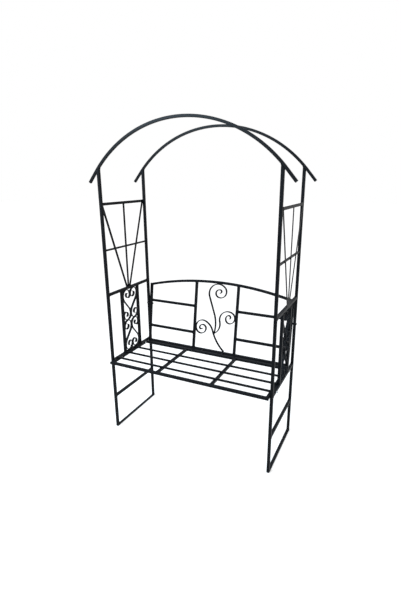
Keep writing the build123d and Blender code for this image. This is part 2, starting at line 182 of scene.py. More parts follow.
@dataclass(frozen=True)
class Layout:
    """A plane in space on which a bar's path is drawn.

    Args:
        origin: Where the plane's own zero lies.
        right: The direction of its first coordinate.
        up: The direction of its second coordinate.
    """

    origin: tuple[float, float, float]
    right: tuple[float, float, float] = (1.0, 0.0, 0.0)
    up: tuple[float, float, float] = (0.0, 0.0, 1.0)

    def axes(self) -> np.ndarray:
        """The three directions as rows: right, up and square to both."""
        return np.array([self.right, self.up, np.cross(self.right, self.up)])

    def place(self, flat: np.ndarray) -> np.ndarray:
        """Points in space for points on the plane, with or without a height over it."""
        return np.array(self.origin) + flat @ self.axes()[: flat.shape[-1]]

    def read(self, points: np.ndarray) -> np.ndarray:
        """The plane's own three coordinates of points in space."""
        return (points - np.array(self.origin)) @ self.axes().T


class Route:
    """A flat path of straight runs and round bends.

    Args:
        start: Its first point.
        heading: Its first direction, in degrees from the plane's right.
    """

    FLATNESS = 0.00006

    def __init__(self, start: Sequence[float], heading: float) -> None:
        """Starts a path that has one point."""
        self.points = np.array([start], float)
        self.headings = np.array([heading], float)

    def run(self, length: float) -> "Route":
        """Goes straight on for a length."""
        turn = radians(self.headings[-1])
        tip = self.points[-1] + length * np.array([cos(turn), sin(turn)])
        self.points = np.vstack([self.points, tip])
        self.headings = np.append(self.headings, self.headings[-1])
        return self

    def bend(self, radius: float, turn: float) -> "Route":
        """Goes round a bend.

        The points are the centre plus the radius times a spoke that turns evenly, at steps
        whose chords lie within the flatness of the circle.

        Args:
            radius: The bend's radius.
            turn: Its angle in degrees, positive to the left.

        Returns:
            The route itself.
        """
        step = degrees(2 * acos(1 - self.FLATNESS / radius))
        side = 1.0 if turn > 0 else -1.0
        angles = self.headings[-1] + np.linspace(0, turn, ceil(abs(turn) / step) + 1)
        spokes = radius * side * np.stack([np.sin(np.radians(angles)), -np.cos(np.radians(angles))], -1)
        self.points = np.vstack([self.points, self.points[-1] - spokes[0] + spokes[1:]])
        self.headings = np.concatenate([self.headings, angles[1:]])
        return self

    def follow(self, moves: Sequence[tuple[float, float]]) -> "Route":
        """Goes through moves: a radius and a turn, or a length and a turn of zero."""
        for size, turn in moves:
            self.bend(size, turn) if turn else self.run(size)
        return self

    def end(self) -> tuple[np.ndarray, float]:
        """Its last point and heading."""
        return self.points[-1], float(self.headings[-1])


def carried(section: Section, layout: Layout, route: Route, ease: float = 0.0) -> np.ndarray:
    """Carries a section along a route.

    A ring's point is the route's point, plus the section's first coordinate to the left of
    the heading, plus its second coordinate square to the plane.

    Args:
        section: The bar's section.
        layout: The plane of the route.
        route: The bar's centre line.
        ease: How much both ends are rounded, for ends that are seen.

    Returns:
        The rings, as rings x points in a ring x 3.
    """
    angle = np.radians(route.headings)
    along = np.stack([np.cos(angle), np.sin(angle), np.zeros_like(angle)], -1)
    left = np.stack([-np.sin(angle), np.cos(angle), np.zeros_like(angle)], -1)
    centre = np.pad(route.points, ((0, 0), (0, 1)))

    def ring(at: int, back: float, inset: float) -> np.ndarray:
        outline = section.outline(inset)
        flat = centre[at] + back * along[at] + outline[:, :1] * left[at]
        return flat + outline[:, 1:] * np.array([0, 0, 1])

    outline = section.outline()
    rings = centre[:, None] + outline[:, :1] * left[:, None] + outline[:, 1:] * np.array([0, 0, 1])
    if ease:
        first = [ring(0, 0, ease), ring(0, ease / 3, ease / 3), ring(0, ease, 0)]
        last = [ring(-1, -ease, 0), ring(-1, -ease / 3, ease / 3), ring(-1, 0, ease)]
        rings = np.concatenate([first, rings[1:-1], last])
    return layout.place(rings)


def trimmed(rings: np.ndarray, end: int, *planes: tuple[np.ndarray, np.ndarray]) -> np.ndarray:
    """Cuts a bar's end to planes.

    Each point of the end ring slides along the bar, from its neighbour in the next ring,
    until it meets the nearest plane.

    Args:
        rings: The bar's rings.
        end: 0 for its start and -1 for its end.
        planes: A point and a normal for each plane.

    Returns:
        The rings with that end moved.
    """
    inner = rings[1 if end == 0 else -2]
    step = unit(rings[end] - inner)
    slides = [((point - inner) @ normal) / (step @ normal) for point, normal in planes]
    rings[end] = inner + step * np.minimum.reduce(slides)[:, None]
    return rings


def under_arc(rings: np.ndarray, layout: Layout, centre: float, radius: float) -> np.ndarray:
    """Cuts an upright's top to the underside of an arc above it.

    A point's height becomes the centre's height plus the square root of the radius squared
    less its distance from the middle squared.

    Args:
        rings: The upright's rings, from its foot to its top.
        layout: The arc's plane, whose zero is below the arc's middle.
        centre: The height of the arc's centre on that plane.
        radius: The radius of the arc's underside.

    Returns:
        The rings with their top moved.
    """
    flat = layout.read(rings[-1])
    flat[:, 1] = centre + np.sqrt(radius**2 - flat[:, 0] ** 2)
    rings[-1] = layout.place(flat)
    return rings


class Along(Enum):
    """The direction of a straight bar, with the layout's right and up for its path."""

    X = ((1.0, 0.0, 0.0), (0.0, 1.0, 0.0))
    Y = ((0.0, 1.0, 0.0), (1.0, 0.0, 0.0))
    Z = ((0.0, 0.0, 1.0), (0.0, 1.0, 0.0))

    def bar(self, section: Section, low: np.ndarray, high: np.ndarray) -> np.ndarray:
        """The rings of a straight bar that fills a box from end to end.

        Args:
            section: The bar's section.
            low: The box's lowest corner.
            high: The box's highest corner.

        Returns:
            Two rings.
        """
        right, up = np.array(self.value)
        middle = (low + high) / 2
        start = middle + right * ((low - middle) @ right)
        layout = Layout(tuple(start), tuple(right), tuple(up))
        return carried(section, layout, Route((0, 0), 0).run(float((high - low) @ right)))


def node_box(node: str) -> tuple[np.ndarray, np.ndarray]:
    """The lowest and highest corners of a node of the frame, as arrays."""
    low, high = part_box(node)
    return np.array(low), np.array(high)


# Weld beads


@dataclass(frozen=True)
class Bead:
    """A weld bead, laid in overlapping ripples.

    Args:
        radius: Its radius.
        ripple: The distance from one ripple to the next.
        swell: How much the ripples swell it, as a share of the radius.
        end_share: Its radius at an open end, as a share of the radius.
        bluntness: The power that keeps an open bead full up to near its ends.
        around: Points round it.
    """

    radius: float = 0.0015
    ripple: float = 0.0026
    swell: float = 0.16
    end_share: float = 0.2
    bluntness: int = 6
    around: int = 7

    def laid(self, line: np.ndarray, outward: np.ndarray, closed: bool) -> Surface:
        """Lays the bead along a line.

        The radius swells and shrinks as a cosine of the length run, and in an open bead it
        falls to its end share at both ends. A ring is a circle across the line.

        Args:
            line: The points that it follows.
            outward: A direction across the line, one for all points or one each.
            closed: True where the line runs round a joint.

        Returns:
            The bead's surface.
        """
        following = np.roll(line, -1, axis=0) if closed else np.vstack([line[1:], 2 * line[-1] - line[-2]])
        before = np.roll(line, 1, axis=0) if closed else np.vstack([2 * line[0] - line[1], line[:-1]])
        along = unit(following - before)
        first = unit(outward - np.sum(outward * along, -1, keepdims=True) * along)
        second = np.cross(along, first)
        run = np.cumsum(np.linalg.norm(following - line, axis=-1))
        ripples = max(1, round(run[-1] / self.ripple))
        size = self.radius * (1 + self.swell * np.cos(tau * ripples * run / run[-1]))
        if not closed:
            share = np.abs(np.linspace(-1, 1, len(line)))
            size = size * np.sqrt(1 + self.end_share**2 - share**self.bluntness)
        spin = np.arange(self.around) * tau / self.around
        circle = np.cos(spin)[:, None] * first[:, None] + np.sin(spin)[:, None] * second[:, None]
        return skin(line[:, None] + size[:, None, None] * circle, closed)

    def round(self, corners: np.ndarray) -> Surface:
        """Lays the bead round a joint.

        Args:
            corners: The joint's corners in order, whose sides are divided evenly.

        Returns:
            The bead's surface.
        """
        sides = np.roll(corners, -1, axis=0) - corners
        lengths = np.linalg.norm(sides, axis=1)
        steps = np.maximum(2, np.ceil(4 * lengths / self.ripple)).astype(int)
        line = np.concatenate(
            [corner + side * (np.arange(n) / n)[:, None] for corner, side, n in zip(corners, sides, steps)]
        )
        middle = corners.mean(axis=0)
        eased = (np.roll(line, 1, 0) + 2 * line + np.roll(line, -1, 0)) / 4
        return self.laid(eased, eased - middle, True)

    def between(self, start: np.ndarray, end: np.ndarray, outward: np.ndarray) -> Surface:
        """Lays the bead straight from one point to another.

        Args:
            start: Its first point.
            end: Its last point.
            outward: A direction across it.

        Returns:
            The bead's surface.
        """
        start, end = np.array(start, float), np.array(end, float)
        steps = max(5, ceil(4 * float(np.linalg.norm(end - start)) / self.ripple))
        share = np.linspace(0, 1, steps + 1)[:, None]
        return self.laid(start + (end - start) * share, np.array(outward, float), False)


def corners_of(low: np.ndarray, high: np.ndarray, axis: int, at: float) -> np.ndarray:
    """The four corners of a box's section square to an axis, in order, at a place on it."""
    a, b = [k for k in range(3) if k != axis]
    corners = np.tile(low, (4, 1)).astype(float)
    corners[1:3, a] = high[a]
    corners[2:4, b] = high[b]
    corners[:, axis] = at
    return corners


# Shader arithmetic


class Value:
    """A shader socket that takes part in Python arithmetic: each operation adds a Math node."""

    def __init__(self, finish: "Shader", socket: bpy.types.NodeSocket) -> None:
        """Keeps the socket and the shader that it is in."""
        self.finish = finish
        self.socket = socket

    def _math(self, operation: str, left: "Value | float", right: "Value | float") -> "Value":
        """The result of one Math node."""
        return self.finish.node("Math", {0: left, 1: right}, operation=operation)

    def __add__(self, other: "Value | float") -> "Value":
        """The sum."""
        return self._math("ADD", self, other)

    def __radd__(self, other: float) -> "Value":
        """The sum, with a number on the left."""
        return self._math("ADD", other, self)

    def __sub__(self, other: "Value | float") -> "Value":
        """The difference."""
        return self._math("SUBTRACT", self, other)

    def __rsub__(self, other: float) -> "Value":
        """The difference, with a number on the left."""
        return self._math("SUBTRACT", other, self)

    def __mul__(self, other: "Value | float") -> "Value":
        """The product."""
        return self._math("MULTIPLY", self, other)

    def __rmul__(self, other: float) -> "Value":
        """The product, with a number on the left."""
        return self._math("MULTIPLY", other, self)

    def above(self, floor: float) -> "Value":
        """The larger of this and a number."""
        return self._math("MAXIMUM", self, floor)

    def below(self, ceiling: float) -> "Value":
        """The smaller of this and a number."""
        return self._math("MINIMUM", self, ceiling)


class Shader:
    """A node tree being filled.

    Args:
        tree: The tree of a material or of the world, which is emptied first.
    """

    def __init__(self, tree: bpy.types.NodeTree) -> None:
        """Empties the tree."""
        self.tree = tree
        self.tree.nodes.clear()

    def node(self, kind: str, inputs: dict, output: "str | int" = 0, **settings) -> Value:
        """Adds one node.

        Args:
            kind: The node's type, without its common first part.
            inputs: A value or a link for each socket, by name or number.
            output: The output that is wanted, by name or number.
            settings: The node's own settings, set first.

        Returns:
            The node's output.
        """
        made = self.tree.nodes.new("ShaderNode" + kind)
        for name, setting in settings.items():
            setattr(made, name, setting)
        for key, value in inputs.items():
            if isinstance(value, Value):
                self.tree.links.new(value.socket, made.inputs[key])
            else:
                made.inputs[key].default_value = value
        return Value(self, made.outputs[output])

    def mix(self, factor: "Value | float", first: "Value | tuple", second: "Value | tuple") -> Value:
        """A colour between two colours."""
        return self.node("Mix", {0: factor, 6: first, 7: second}, 2, data_type="RGBA")

    def noise(self, scale: float, detail: float = 2.0, roughness: float = 0.5) -> Value:
        """A noise in the piece's own coordinates, with the scale in waves a metre."""
        place = self.node("TexCoord", {}, "Object")
        sockets = {"Vector": place, "Scale": scale, "Detail": detail, "Roughness": roughness}
        return self.node("TexNoise", sockets, "Fac")

    def bump(self, height: Value, distance: float, strength: float) -> Value:
        """A surface direction from a height."""
        return self.node("Bump", {"Height": height, "Distance": distance, "Strength": strength}, "Normal")


Colour = tuple[float, float, float, float]


def opaque(red: float, green: float, blue: float) -> Colour:
    """An opaque colour."""
    return (red, green, blue, 1.0)


# Finishes


@dataclass(frozen=True)
class PowderCoat:
    """Black powder coat on steel: satin, with a fine orange peel, and painted light that makes the faces that look
    up paler.

    Args:
        name: The finish's name.
        slot: The slot of the frame that it belongs to; not used.
        deep: Its darkest colour.
        pale: Its palest colour, in broad soft patches.
        dust: The paler, bluer colour painted on faces that look up, as painted light from above.
        dust_share: How much of that painted light shows there.
        roughness: Its middle roughness.
        specular: How strongly it reflects.
        peel: The depth of the orange peel.
        patch_scale: The patches' waves a metre.
        peel_scale: The orange peel's waves a metre.
        speck_scale: The finest specks' waves a metre.
    """

    name: str = "black_powder_coat"
    slot: str = "black_steel"
    deep: Colour = opaque(0.0016, 0.0020, 0.0029)
    pale: Colour = opaque(0.0034, 0.0042, 0.0060)
    dust: Colour = opaque(0.030, 0.037, 0.047)
    dust_share: float = 0.16
    roughness: float = 0.46
    specular: float = 0.08
    peel: float = 0.00010
    patch_scale: float = 11.0
    peel_scale: float = 620.0
    speck_scale: float = 1900.0

    def material(self) -> bpy.types.Material:
        """Makes the material.

        Broad noise moves the colour and the roughness, and fine noise makes the orange peel. The upward part of the
        surface's direction, squared and broken up by noise, paints a paler, bluer top light on faces that look up
        and makes them rougher.

        Returns:
            The material.
        """
        made = bpy.data.materials.new(self.name)
        made.use_nodes = True
        shader = Shader(made.node_tree)
        patches = shader.noise(self.patch_scale, 4.0, 0.6)
        peel = shader.noise(self.peel_scale, 3.0, 0.55)
        specks = shader.noise(self.speck_scale, 1.0, 0.4)
        direction = shader.node("NewGeometry", {}, "Normal")
        upward = shader.node("SeparateXYZ", {0: direction}, "Z").above(0.0)
        # Painted light: faces that look up are painted paler and bluer, as if lit from above, broken up by noise,
        # and are made rougher.
        painted_top_light = upward * upward * (patches * 0.9 + specks * 0.35 + 0.25) * self.dust_share
        coat = shader.mix((patches * 2.6 - 0.8).above(0.0).below(1.0), self.deep, self.pale)
        shown = {
            "Base Color": shader.mix(painted_top_light.below(1.0), coat, self.dust),
            "Roughness": patches * 0.10 + peel * 0.08 + painted_top_light * 0.5 + (self.roughness - 0.09),
            "Specular IOR Level": self.specular,
            "Normal": shader.bump(peel + specks * 0.25, self.peel, 0.35),
        }
        surface = shader.node("BsdfPrincipled", shown, "BSDF")
        finish_tree(shader, surface)
        return made


@dataclass(frozen=True)
class MouldedPlastic:
    """Black moulded plastic with a fine spark-eroded grain.

    Args:
        name: The finish's name.
        slot: The slot of the frame that it belongs to; not used.
        colour: Its colour.
        worn: The colour of rubbed spots.
        roughness: Its middle roughness.
        grain: The depth of the grain.
        grain_scale: The grain's waves a metre.
        rub_scale: The rubbed spots' waves a metre.
    """

    name: str = "black_moulded_plastic"
    slot: str = "black_plastic"
    colour: Colour = opaque(0.0060, 0.0060, 0.0066)
    worn: Colour = opaque(0.018, 0.018, 0.019)
    roughness: float = 0.58
    grain: float = 0.00012
    grain_scale: float = 1400.0
    rub_scale: float = 160.0

    def material(self) -> bpy.types.Material:
        """Makes the material: noise at two sizes moves its colour, roughness and grain.

        Returns:
            The material.
        """
        made = bpy.data.materials.new(self.name)
        made.use_nodes = True
        shader = Shader(made.node_tree)
        grain = shader.noise(self.grain_scale, 2.0, 0.6)
        rubbed = (shader.noise(self.rub_scale, 3.0, 0.6) * 3.2 - 1.6).above(0.0).below(1.0)
        shown = {
            "Base Color": shader.mix(rubbed * 0.6, self.colour, self.worn),
            "Roughness": self.roughness + grain * 0.12 - rubbed * 0.10,
            "Specular IOR Level": 0.4,
            "Normal": shader.bump(grain, self.grain, 0.5),
        }
        finish_tree(shader, shader.node("BsdfPrincipled", shown, "BSDF"))
        return made


@dataclass(frozen=True)
class ZincPlate:
    """Bright zinc plating on bolts and nuts.

    Args:
        name: The finish's name.
        slot: The slot of the frame that it belongs to; not used.
        colour: The plating's colour.
        dull: Its colour where it has gone dull.
        roughness: Its middle roughness.
        grain: The depth of its fine unevenness.
        patch_scale: The dull patches' waves a metre.
        grain_scale: The unevenness's waves a metre.
    """

    name: str = "zinc_plate"
    slot: str = "zinc_steel"
    colour: Colour = opaque(0.62, 0.63, 0.64)
    dull: Colour = opaque(0.42, 0.42, 0.40)
    roughness: float = 0.30
    grain: float = 0.00006
    patch_scale: float = 260.0
    grain_scale: float = 1600.0

    def material(self) -> bpy.types.Material:
        """Makes the material: dull patches are a shade darker and rougher.

        Returns:
            The material.
        """
        made = bpy.data.materials.new(self.name)
        made.use_nodes = True
        shader = Shader(made.node_tree)
        patches = shader.noise(self.patch_scale, 4.0, 0.6)
        grain = shader.noise(self.grain_scale, 2.0, 0.5)
        dulled = (patches * 2.4 - 0.8).above(0.0).below(1.0)
        shown = {
            "Base Color": shader.mix(dulled, self.colour, self.dull),
            "Metallic": 1.0,
            "Roughness": dulled * 0.22 + grain * 0.08 + self.roughness,
            "Normal": shader.bump(grain, self.grain, 0.4),
        }
        finish_tree(shader, shader.node("BsdfPrincipled", shown, "BSDF"))
        return made


def finish_tree(shader: Shader, surface: Value, kind: str = "OutputMaterial") -> None:
    """Joins a surface or a background to the tree's output."""
    end = shader.tree.nodes.new("ShaderNode" + kind)
    shader.tree.links.new(surface.socket, end.inputs["Surface"])


Finish = PowderCoat | MouldedPlastic | ZincPlate


class Workshop:
    """Turns surfaces into pieces and keeps one material for each finish."""

    SHARP = radians(50)

    def __init__(self) -> None:
        """Starts with no material made."""
        self.materials: dict[str, bpy.types.Material] = {}
        self.faces = 0

    def material(self, finish: Finish) -> bpy.types.Material:
        """The finish's material, made when it is first wanted."""
        if finish.name not in self.materials:
            self.materials[finish.name] = finish.material()
        return self.materials[finish.name]

    def piece(self, name: str, surface: Surface, finish: Finish, *nodes: str, plain: bool = True) -> None:
        """Makes a piece of the bench.

        Args:
            name: The piece's name.
            surface: Its vertices and faces.
            finish: What it is finished with.
            nodes: The nodes of the frame that it stands for.
            plain: True where its flat sides are shaded flat between soft corners.
        """
        mesh = bpy.data.meshes.new(name)
        faces = surface.quads.tolist() + [cap.tolist() for cap in surface.caps]
        mesh.from_pydata(surface.points.tolist(), [], faces)
        mesh.polygons.foreach_set("use_smooth", np.ones(len(faces), bool))
        mesh.set_sharp_from_angle(angle=self.SHARP)
        mesh.materials.append(self.material(finish))
        mesh.update()
        made = bpy.data.objects.new(name, mesh)
        bpy.context.scene.collection.objects.link(made)
        if plain:
            shading = made.modifiers.new("flat_sides", "WEIGHTED_NORMAL")
            shading.keep_sharp = True
        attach(made, "root")
        if nodes:
            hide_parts(*nodes)
        self.faces += len(faces)
        LOG.info("%s: %d faces", name, len(faces))


# The bench


class Side(Enum):
    """The two sides of the bench, as seen from the front."""

    LEFT = -1
    RIGHT = 1

    @property
    def word(self) -> str:
        """The side's name as the nodes have it."""
        return self.name.lower()


class End(Enum):
    """The two ends of a side panel."""

    FRONT = -1
    BACK = 1

    @property
    def word(self) -> str:
        """The end's name as the nodes have it."""
        return self.name.lower()


@dataclass
class Arches:
    """The two arches of square tube with their plastic end caps.

    Args:
        apex: The height of an arch's centre line at its top.
        reach: How far to each side the bend runs.
        half_angle: How far it turns to each side, in degrees.
        tail: The straight length at each end.
        cap: The thickness of the caps' heads.
        steel: The finish of the tubes.
        plastic: The finish of the caps.
    """

    apex: float = 1.799
    reach: float = 0.517
    half_angle: float = 50.0
    tail: float = 0.069
    cap: float = 0.002
    steel: Finish = PowderCoat()
    plastic: Finish = MouldedPlastic()

    @property
    def radius(self) -> float:
        """The radius of the arches' centre line."""
        return self.reach / sin(radians(self.half_angle))

    @property
    def centre(self) -> float:
        """The height of the arches' centre."""
        return self.apex - self.radius

    @property
    def underside(self) -> float:
        """The radius of the arches' inner face."""
        return self.radius - Stock.ARCH_TUBE.value.across / 2

    def layout(self, end: End) -> Layout:
        """The upright plane of one arch."""
        low, high = node_box(end.word + "_arch")
        return Layout((0.0, float(low[1] + high[1]) / 2, 0.0))

    def half(self) -> Route:
        """The path from the top to the end of the right tail."""
        return Route((0, self.apex), 0).bend(self.radius, -self.half_angle).run(self.tail)

    def build(self, shop: Workshop) -> None:
        """Makes the arches and their caps."""
        tip, heading = self.half().end()
        caps = []
        for end in End:
            layout = self.layout(end)
            route = Route((-tip[0], tip[1]), -heading).run(self.tail)
            route.bend(self.radius, -2 * self.half_angle).run(self.tail)
            rings = carried(Stock.ARCH_TUBE.value, layout, route)
            shop.piece(end.word + "_arch_tube", skin(rings), self.steel, end.word + "_arch")
            for side in Side:
                point = np.array([side.value * tip[0], tip[1]])
                turn = heading if side is Side.RIGHT else 180 - heading
                caps.append(plug(Stock.ARCH_TUBE.value, layout, point, turn, self.cap))
        shop.piece("arch_end_caps", joined(caps), self.plastic, "arch_caps")


def plug(section: Section, layout: Layout, point: np.ndarray, heading: float, thick: float) -> Surface:
    """A moulded plug's head on the end of a tube.

    Its rings follow the tube's section and are drawn in along a quarter of an ellipse, from a
    lip of full width that lies against the tube to the head's face.

    Args:
        section: The tube's section.
        layout: The plane of the tube's path.
        point: The end of the tube's centre line on that plane.
        heading: The direction out of the tube, in degrees.
        thick: The head's thickness.

    Returns:
        The head's surface.
    """
    rise = np.linspace(0, pi / 2, 5)
    heights = np.concatenate([[-thick * 0.25, 0.0], thick * (0.3 + 0.7 * np.sin(rise))])
    insets = np.concatenate([[thick * 0.6, 0.0], thick * 0.9 * (1 - np.cos(rise))])
    angle = radians(heading)
    along, left = np.array([cos(angle), sin(angle), 0]), np.array([-sin(angle), cos(angle), 0])
    rings = []
    for height, inset in zip(heights, insets):
        outline = section.outline(inset)
        flat = np.append(point, 0) + height * along + outline[:, :1] * left
        rings.append(flat + outline[:, 1:] * Z_AXIS)
    return skin(layout.place(np.array(rings)))


@dataclass
class SidePanel:
    """One side of the arbor: posts, rails, the fan of strips and the panel of scrolls.

    Args:
        side: Which side it is.
        arches: The arches that stand on its posts.
        fan_foot_reach: How far a leaning strip's foot is from the middle.
        fan_top_inset: How far its top is from the post.
        scroll_share: The bends beside a scroll's diagonal, as a share of the widest.
        curl: The radius of a scroll's inner loop.
        tip: The radius of its tip.
        tip_turn: The turn of its tip, in degrees.
        fan_seam_share: The reach of the beads on a leaning strip, as a share of its width.
        steel: The finish.
        weld: The beads.
        beads: The beads laid so far.
    """

    side: Side
    arches: Arches
    fan_foot_reach: float = 0.0165
    fan_top_inset: float = 0.0085
    scroll_share: float = 0.77
    curl: float = 0.020
    tip: float = 0.012
    tip_turn: float = 90.0
    fan_seam_share: float = 0.4
    steel: Finish = PowderCoat()
    weld: Bead = Bead()
    beads: list[Surface] = field(default_factory=list)

    def node(self, piece: str) -> str:
        """The name of one of this panel's nodes."""
        return self.side.word + "_" + piece

    def build(self, shop: Workshop) -> None:
        """Makes all the pieces of the panel and the beads that join them."""
        self.posts(shop)
        self.rails(shop)
        self.fan(shop)
        self.scroll_stiles(shop)
        self.scrolls(shop)
        shop.piece(self.node("panel_welds"), joined(self.beads), self.steel, plain=False)

    def posts(self, shop: Workshop) -> None:
        """Makes the two posts, each cut to the underside of its arch."""
        for end in End:
            node = self.node(end.word + "_post")
            low, high = node_box(node)
            layout = self.arches.layout(end)
            rings = Along.Z.bar(Stock.TUBE.value, low, high)
            rings = under_arc(rings, layout, self.arches.centre, self.arches.underside)
            shop.piece(node + "_tube", skin(rings), self.steel, node)
            corners = corners_of(low, high, 2, 0.0)
            heights = layout.read(corners)
            heights[:, 1] = self.arches.centre + np.sqrt(self.arches.underside**2 - heights[:, 0] ** 2)
            self.beads.append(self.weld.round(layout.place(heights)))

    def rails(self, shop: Workshop) -> None:
        """Makes the rails between the posts."""
        rails = {
            "sill": Stock.SILL_BAR,
            "stretcher": Stock.TUBE,
            "seat_support": Stock.TUBE,
            "arm_rail": Stock.TUBE,
            "mid_rail": Stock.SQUARE_BAR,
            "top_rail": Stock.STRIP,
        }
        for piece, stock in rails.items():
            low, high = node_box(self.node(piece))
            rings = Along.Y.bar(stock.value, low, high)
            shop.piece(self.node(piece) + "_" + stock.value.word, skin(rings), self.steel, self.node(piece))
            for at in (low[1], high[1]):
                self.beads.append(self.weld.round(corners_of(low, high, 1, at)))

    def fan(self, shop: Workshop) -> None:
        """Makes the upright strip and the two leaning ones, cut to the rails and the posts."""
        section = Stock.FAN_STRIP.value
        low, high = node_box(self.node("fan_center"))
        rings = Along.Z.bar(section, low, high)
        shop.piece(self.node("fan_center_strip"), skin(rings), self.steel, self.node("fan_center"))
        middle = (low + high) / 2
        face = middle - self.side.value * X_AXIS * section.deep / 2
        inside = -self.side.value * X_AXIS
        bay = bay_reach(self.node("stretcher"))
        foot, head = self.fan_foot_reach, bay - self.fan_top_inset
        for at in (low[2], high[2]):
            self.beads.append(self.edge_bead(np.array([*face[:2], at]), section.across / 2, inside))
        lean = degrees(atan2(high[2] - low[2], head - foot))
        length = hypot(high[2] - low[2], head - foot)
        for end in End:
            layout = Layout((float(middle[0]), float(middle[1]), 0.0), (0, end.value, 0), (0, 0, 1))
            rings = carried(section, layout, Route((foot, low[2]), lean).run(length))
            outward = end.value * Y_AXIS
            rings = trimmed(rings, 0, (low, Z_AXIS), (middle + outward * section.across / 2, Y_AXIS))
            rings = trimmed(rings, -1, (high, Z_AXIS), (middle + outward * bay, Y_AXIS))
            node = self.node("fan_" + end.word)
            shop.piece(node + "_strip", skin(rings), self.steel, node)
            for y, z in ((foot, low[2]), (head, high[2])):
                at = np.array([face[0], middle[1] + end.value * y, z])
                self.beads.append(self.edge_bead(at, section.across * self.fan_seam_share, inside))

    def edge_bead(self, at: np.ndarray, reach: float, outward: np.ndarray) -> Surface:
        """A short level bead along Y."""
        return self.weld.between(at - reach * Y_AXIS, at + reach * Y_AXIS, outward + Z_AXIS)

    def scroll_stiles(self, shop: Workshop) -> None:
        """Makes the two uprights that hold the scrolls."""
        node = self.node("scroll_stiles")
        low, high = node_box(node)
        section = Stock.TUBE.value
        bars = []
        for end in End:
            inner, outer = low.copy(), high.copy()
            if end is End.FRONT:
                outer[1] = low[1] + section.across
            else:
                inner[1] = high[1] - section.across
            bars.append(skin(Along.Z.bar(section, inner, outer)))
            for at in (inner[2], outer[2]):
                self.beads.append(self.weld.round(corners_of(inner, outer, 2, at)))
        shop.piece(node + "_tubes", joined(bars), self.steel, node)

    def scrolls(self, shop: Workshop) -> None:
        """Makes the four S-shaped strips, mirror images of one path.

        It is two loops as wide as their bay, joined by a diagonal, and each loop curls in.
        """
        strip = Stock.STRIP.value
        low, high = node_box(self.node("scroll_stiles"))
        bay = (high[1] - low[1]) / 2 - Stock.TUBE.value.across
        height = (high[2] - low[2]) / 2
        across, up = bay - strip.across, height - bay
        widest = (across**2 + up**2) / (4 * across)
        radius = widest * self.scroll_share
        diagonal = sqrt(4 * across * (widest - radius))
        lean = degrees(atan2(2 * radius, diagonal) + atan2(across - 2 * radius, up))
        curls = [(radius, lean), (across / 2, 180), (self.curl, 180), (self.tip, self.tip_turn)]
        back = [(size, -turn) for size, turn in reversed(curls)]
        centre = np.array([bay / 2, height / 2])
        tip, heading = Route(centre, 90 - lean).run(diagonal / 2).follow(curls).end()
        middle = (low + high) / 2
        for level, up_sign in (("upper", 1), ("lower", -1)):
            for end in End:
                layout = Layout(tuple(middle), (0, end.value, 0), (0, 0, up_sign))
                route = Route(2 * centre - tip, heading).follow(back + [(diagonal, 0)] + curls)
                rings = carried(strip, layout, route, ease=strip.corner)
                node = self.node("scroll_" + level + "_" + end.word)
                shop.piece(node + "_strip", skin(rings), self.steel, node)
                for flat in self.touches(bay, height):
                    at = layout.place(np.array([flat]))[0]
                    reach = strip.deep * SEAM_SHARE * X_AXIS
                    self.beads.append(self.weld.between(at - reach, at + reach, Z_AXIS))

    def touches(self, bay: float, height: float) -> list[tuple[float, float]]:
        """Where a scroll touches its stile, its rail and its twins, on its own plane."""
        loop = bay / 2
        return [(0.0, loop), (bay, height - loop), (loop, 0.0), (bay - loop, height)]


def bay_reach(node: str) -> float:
    """Half the depth between the posts, from a rail that fills it."""
    low, high = node_box(node)
    return float(high[1] - low[1]) / 2


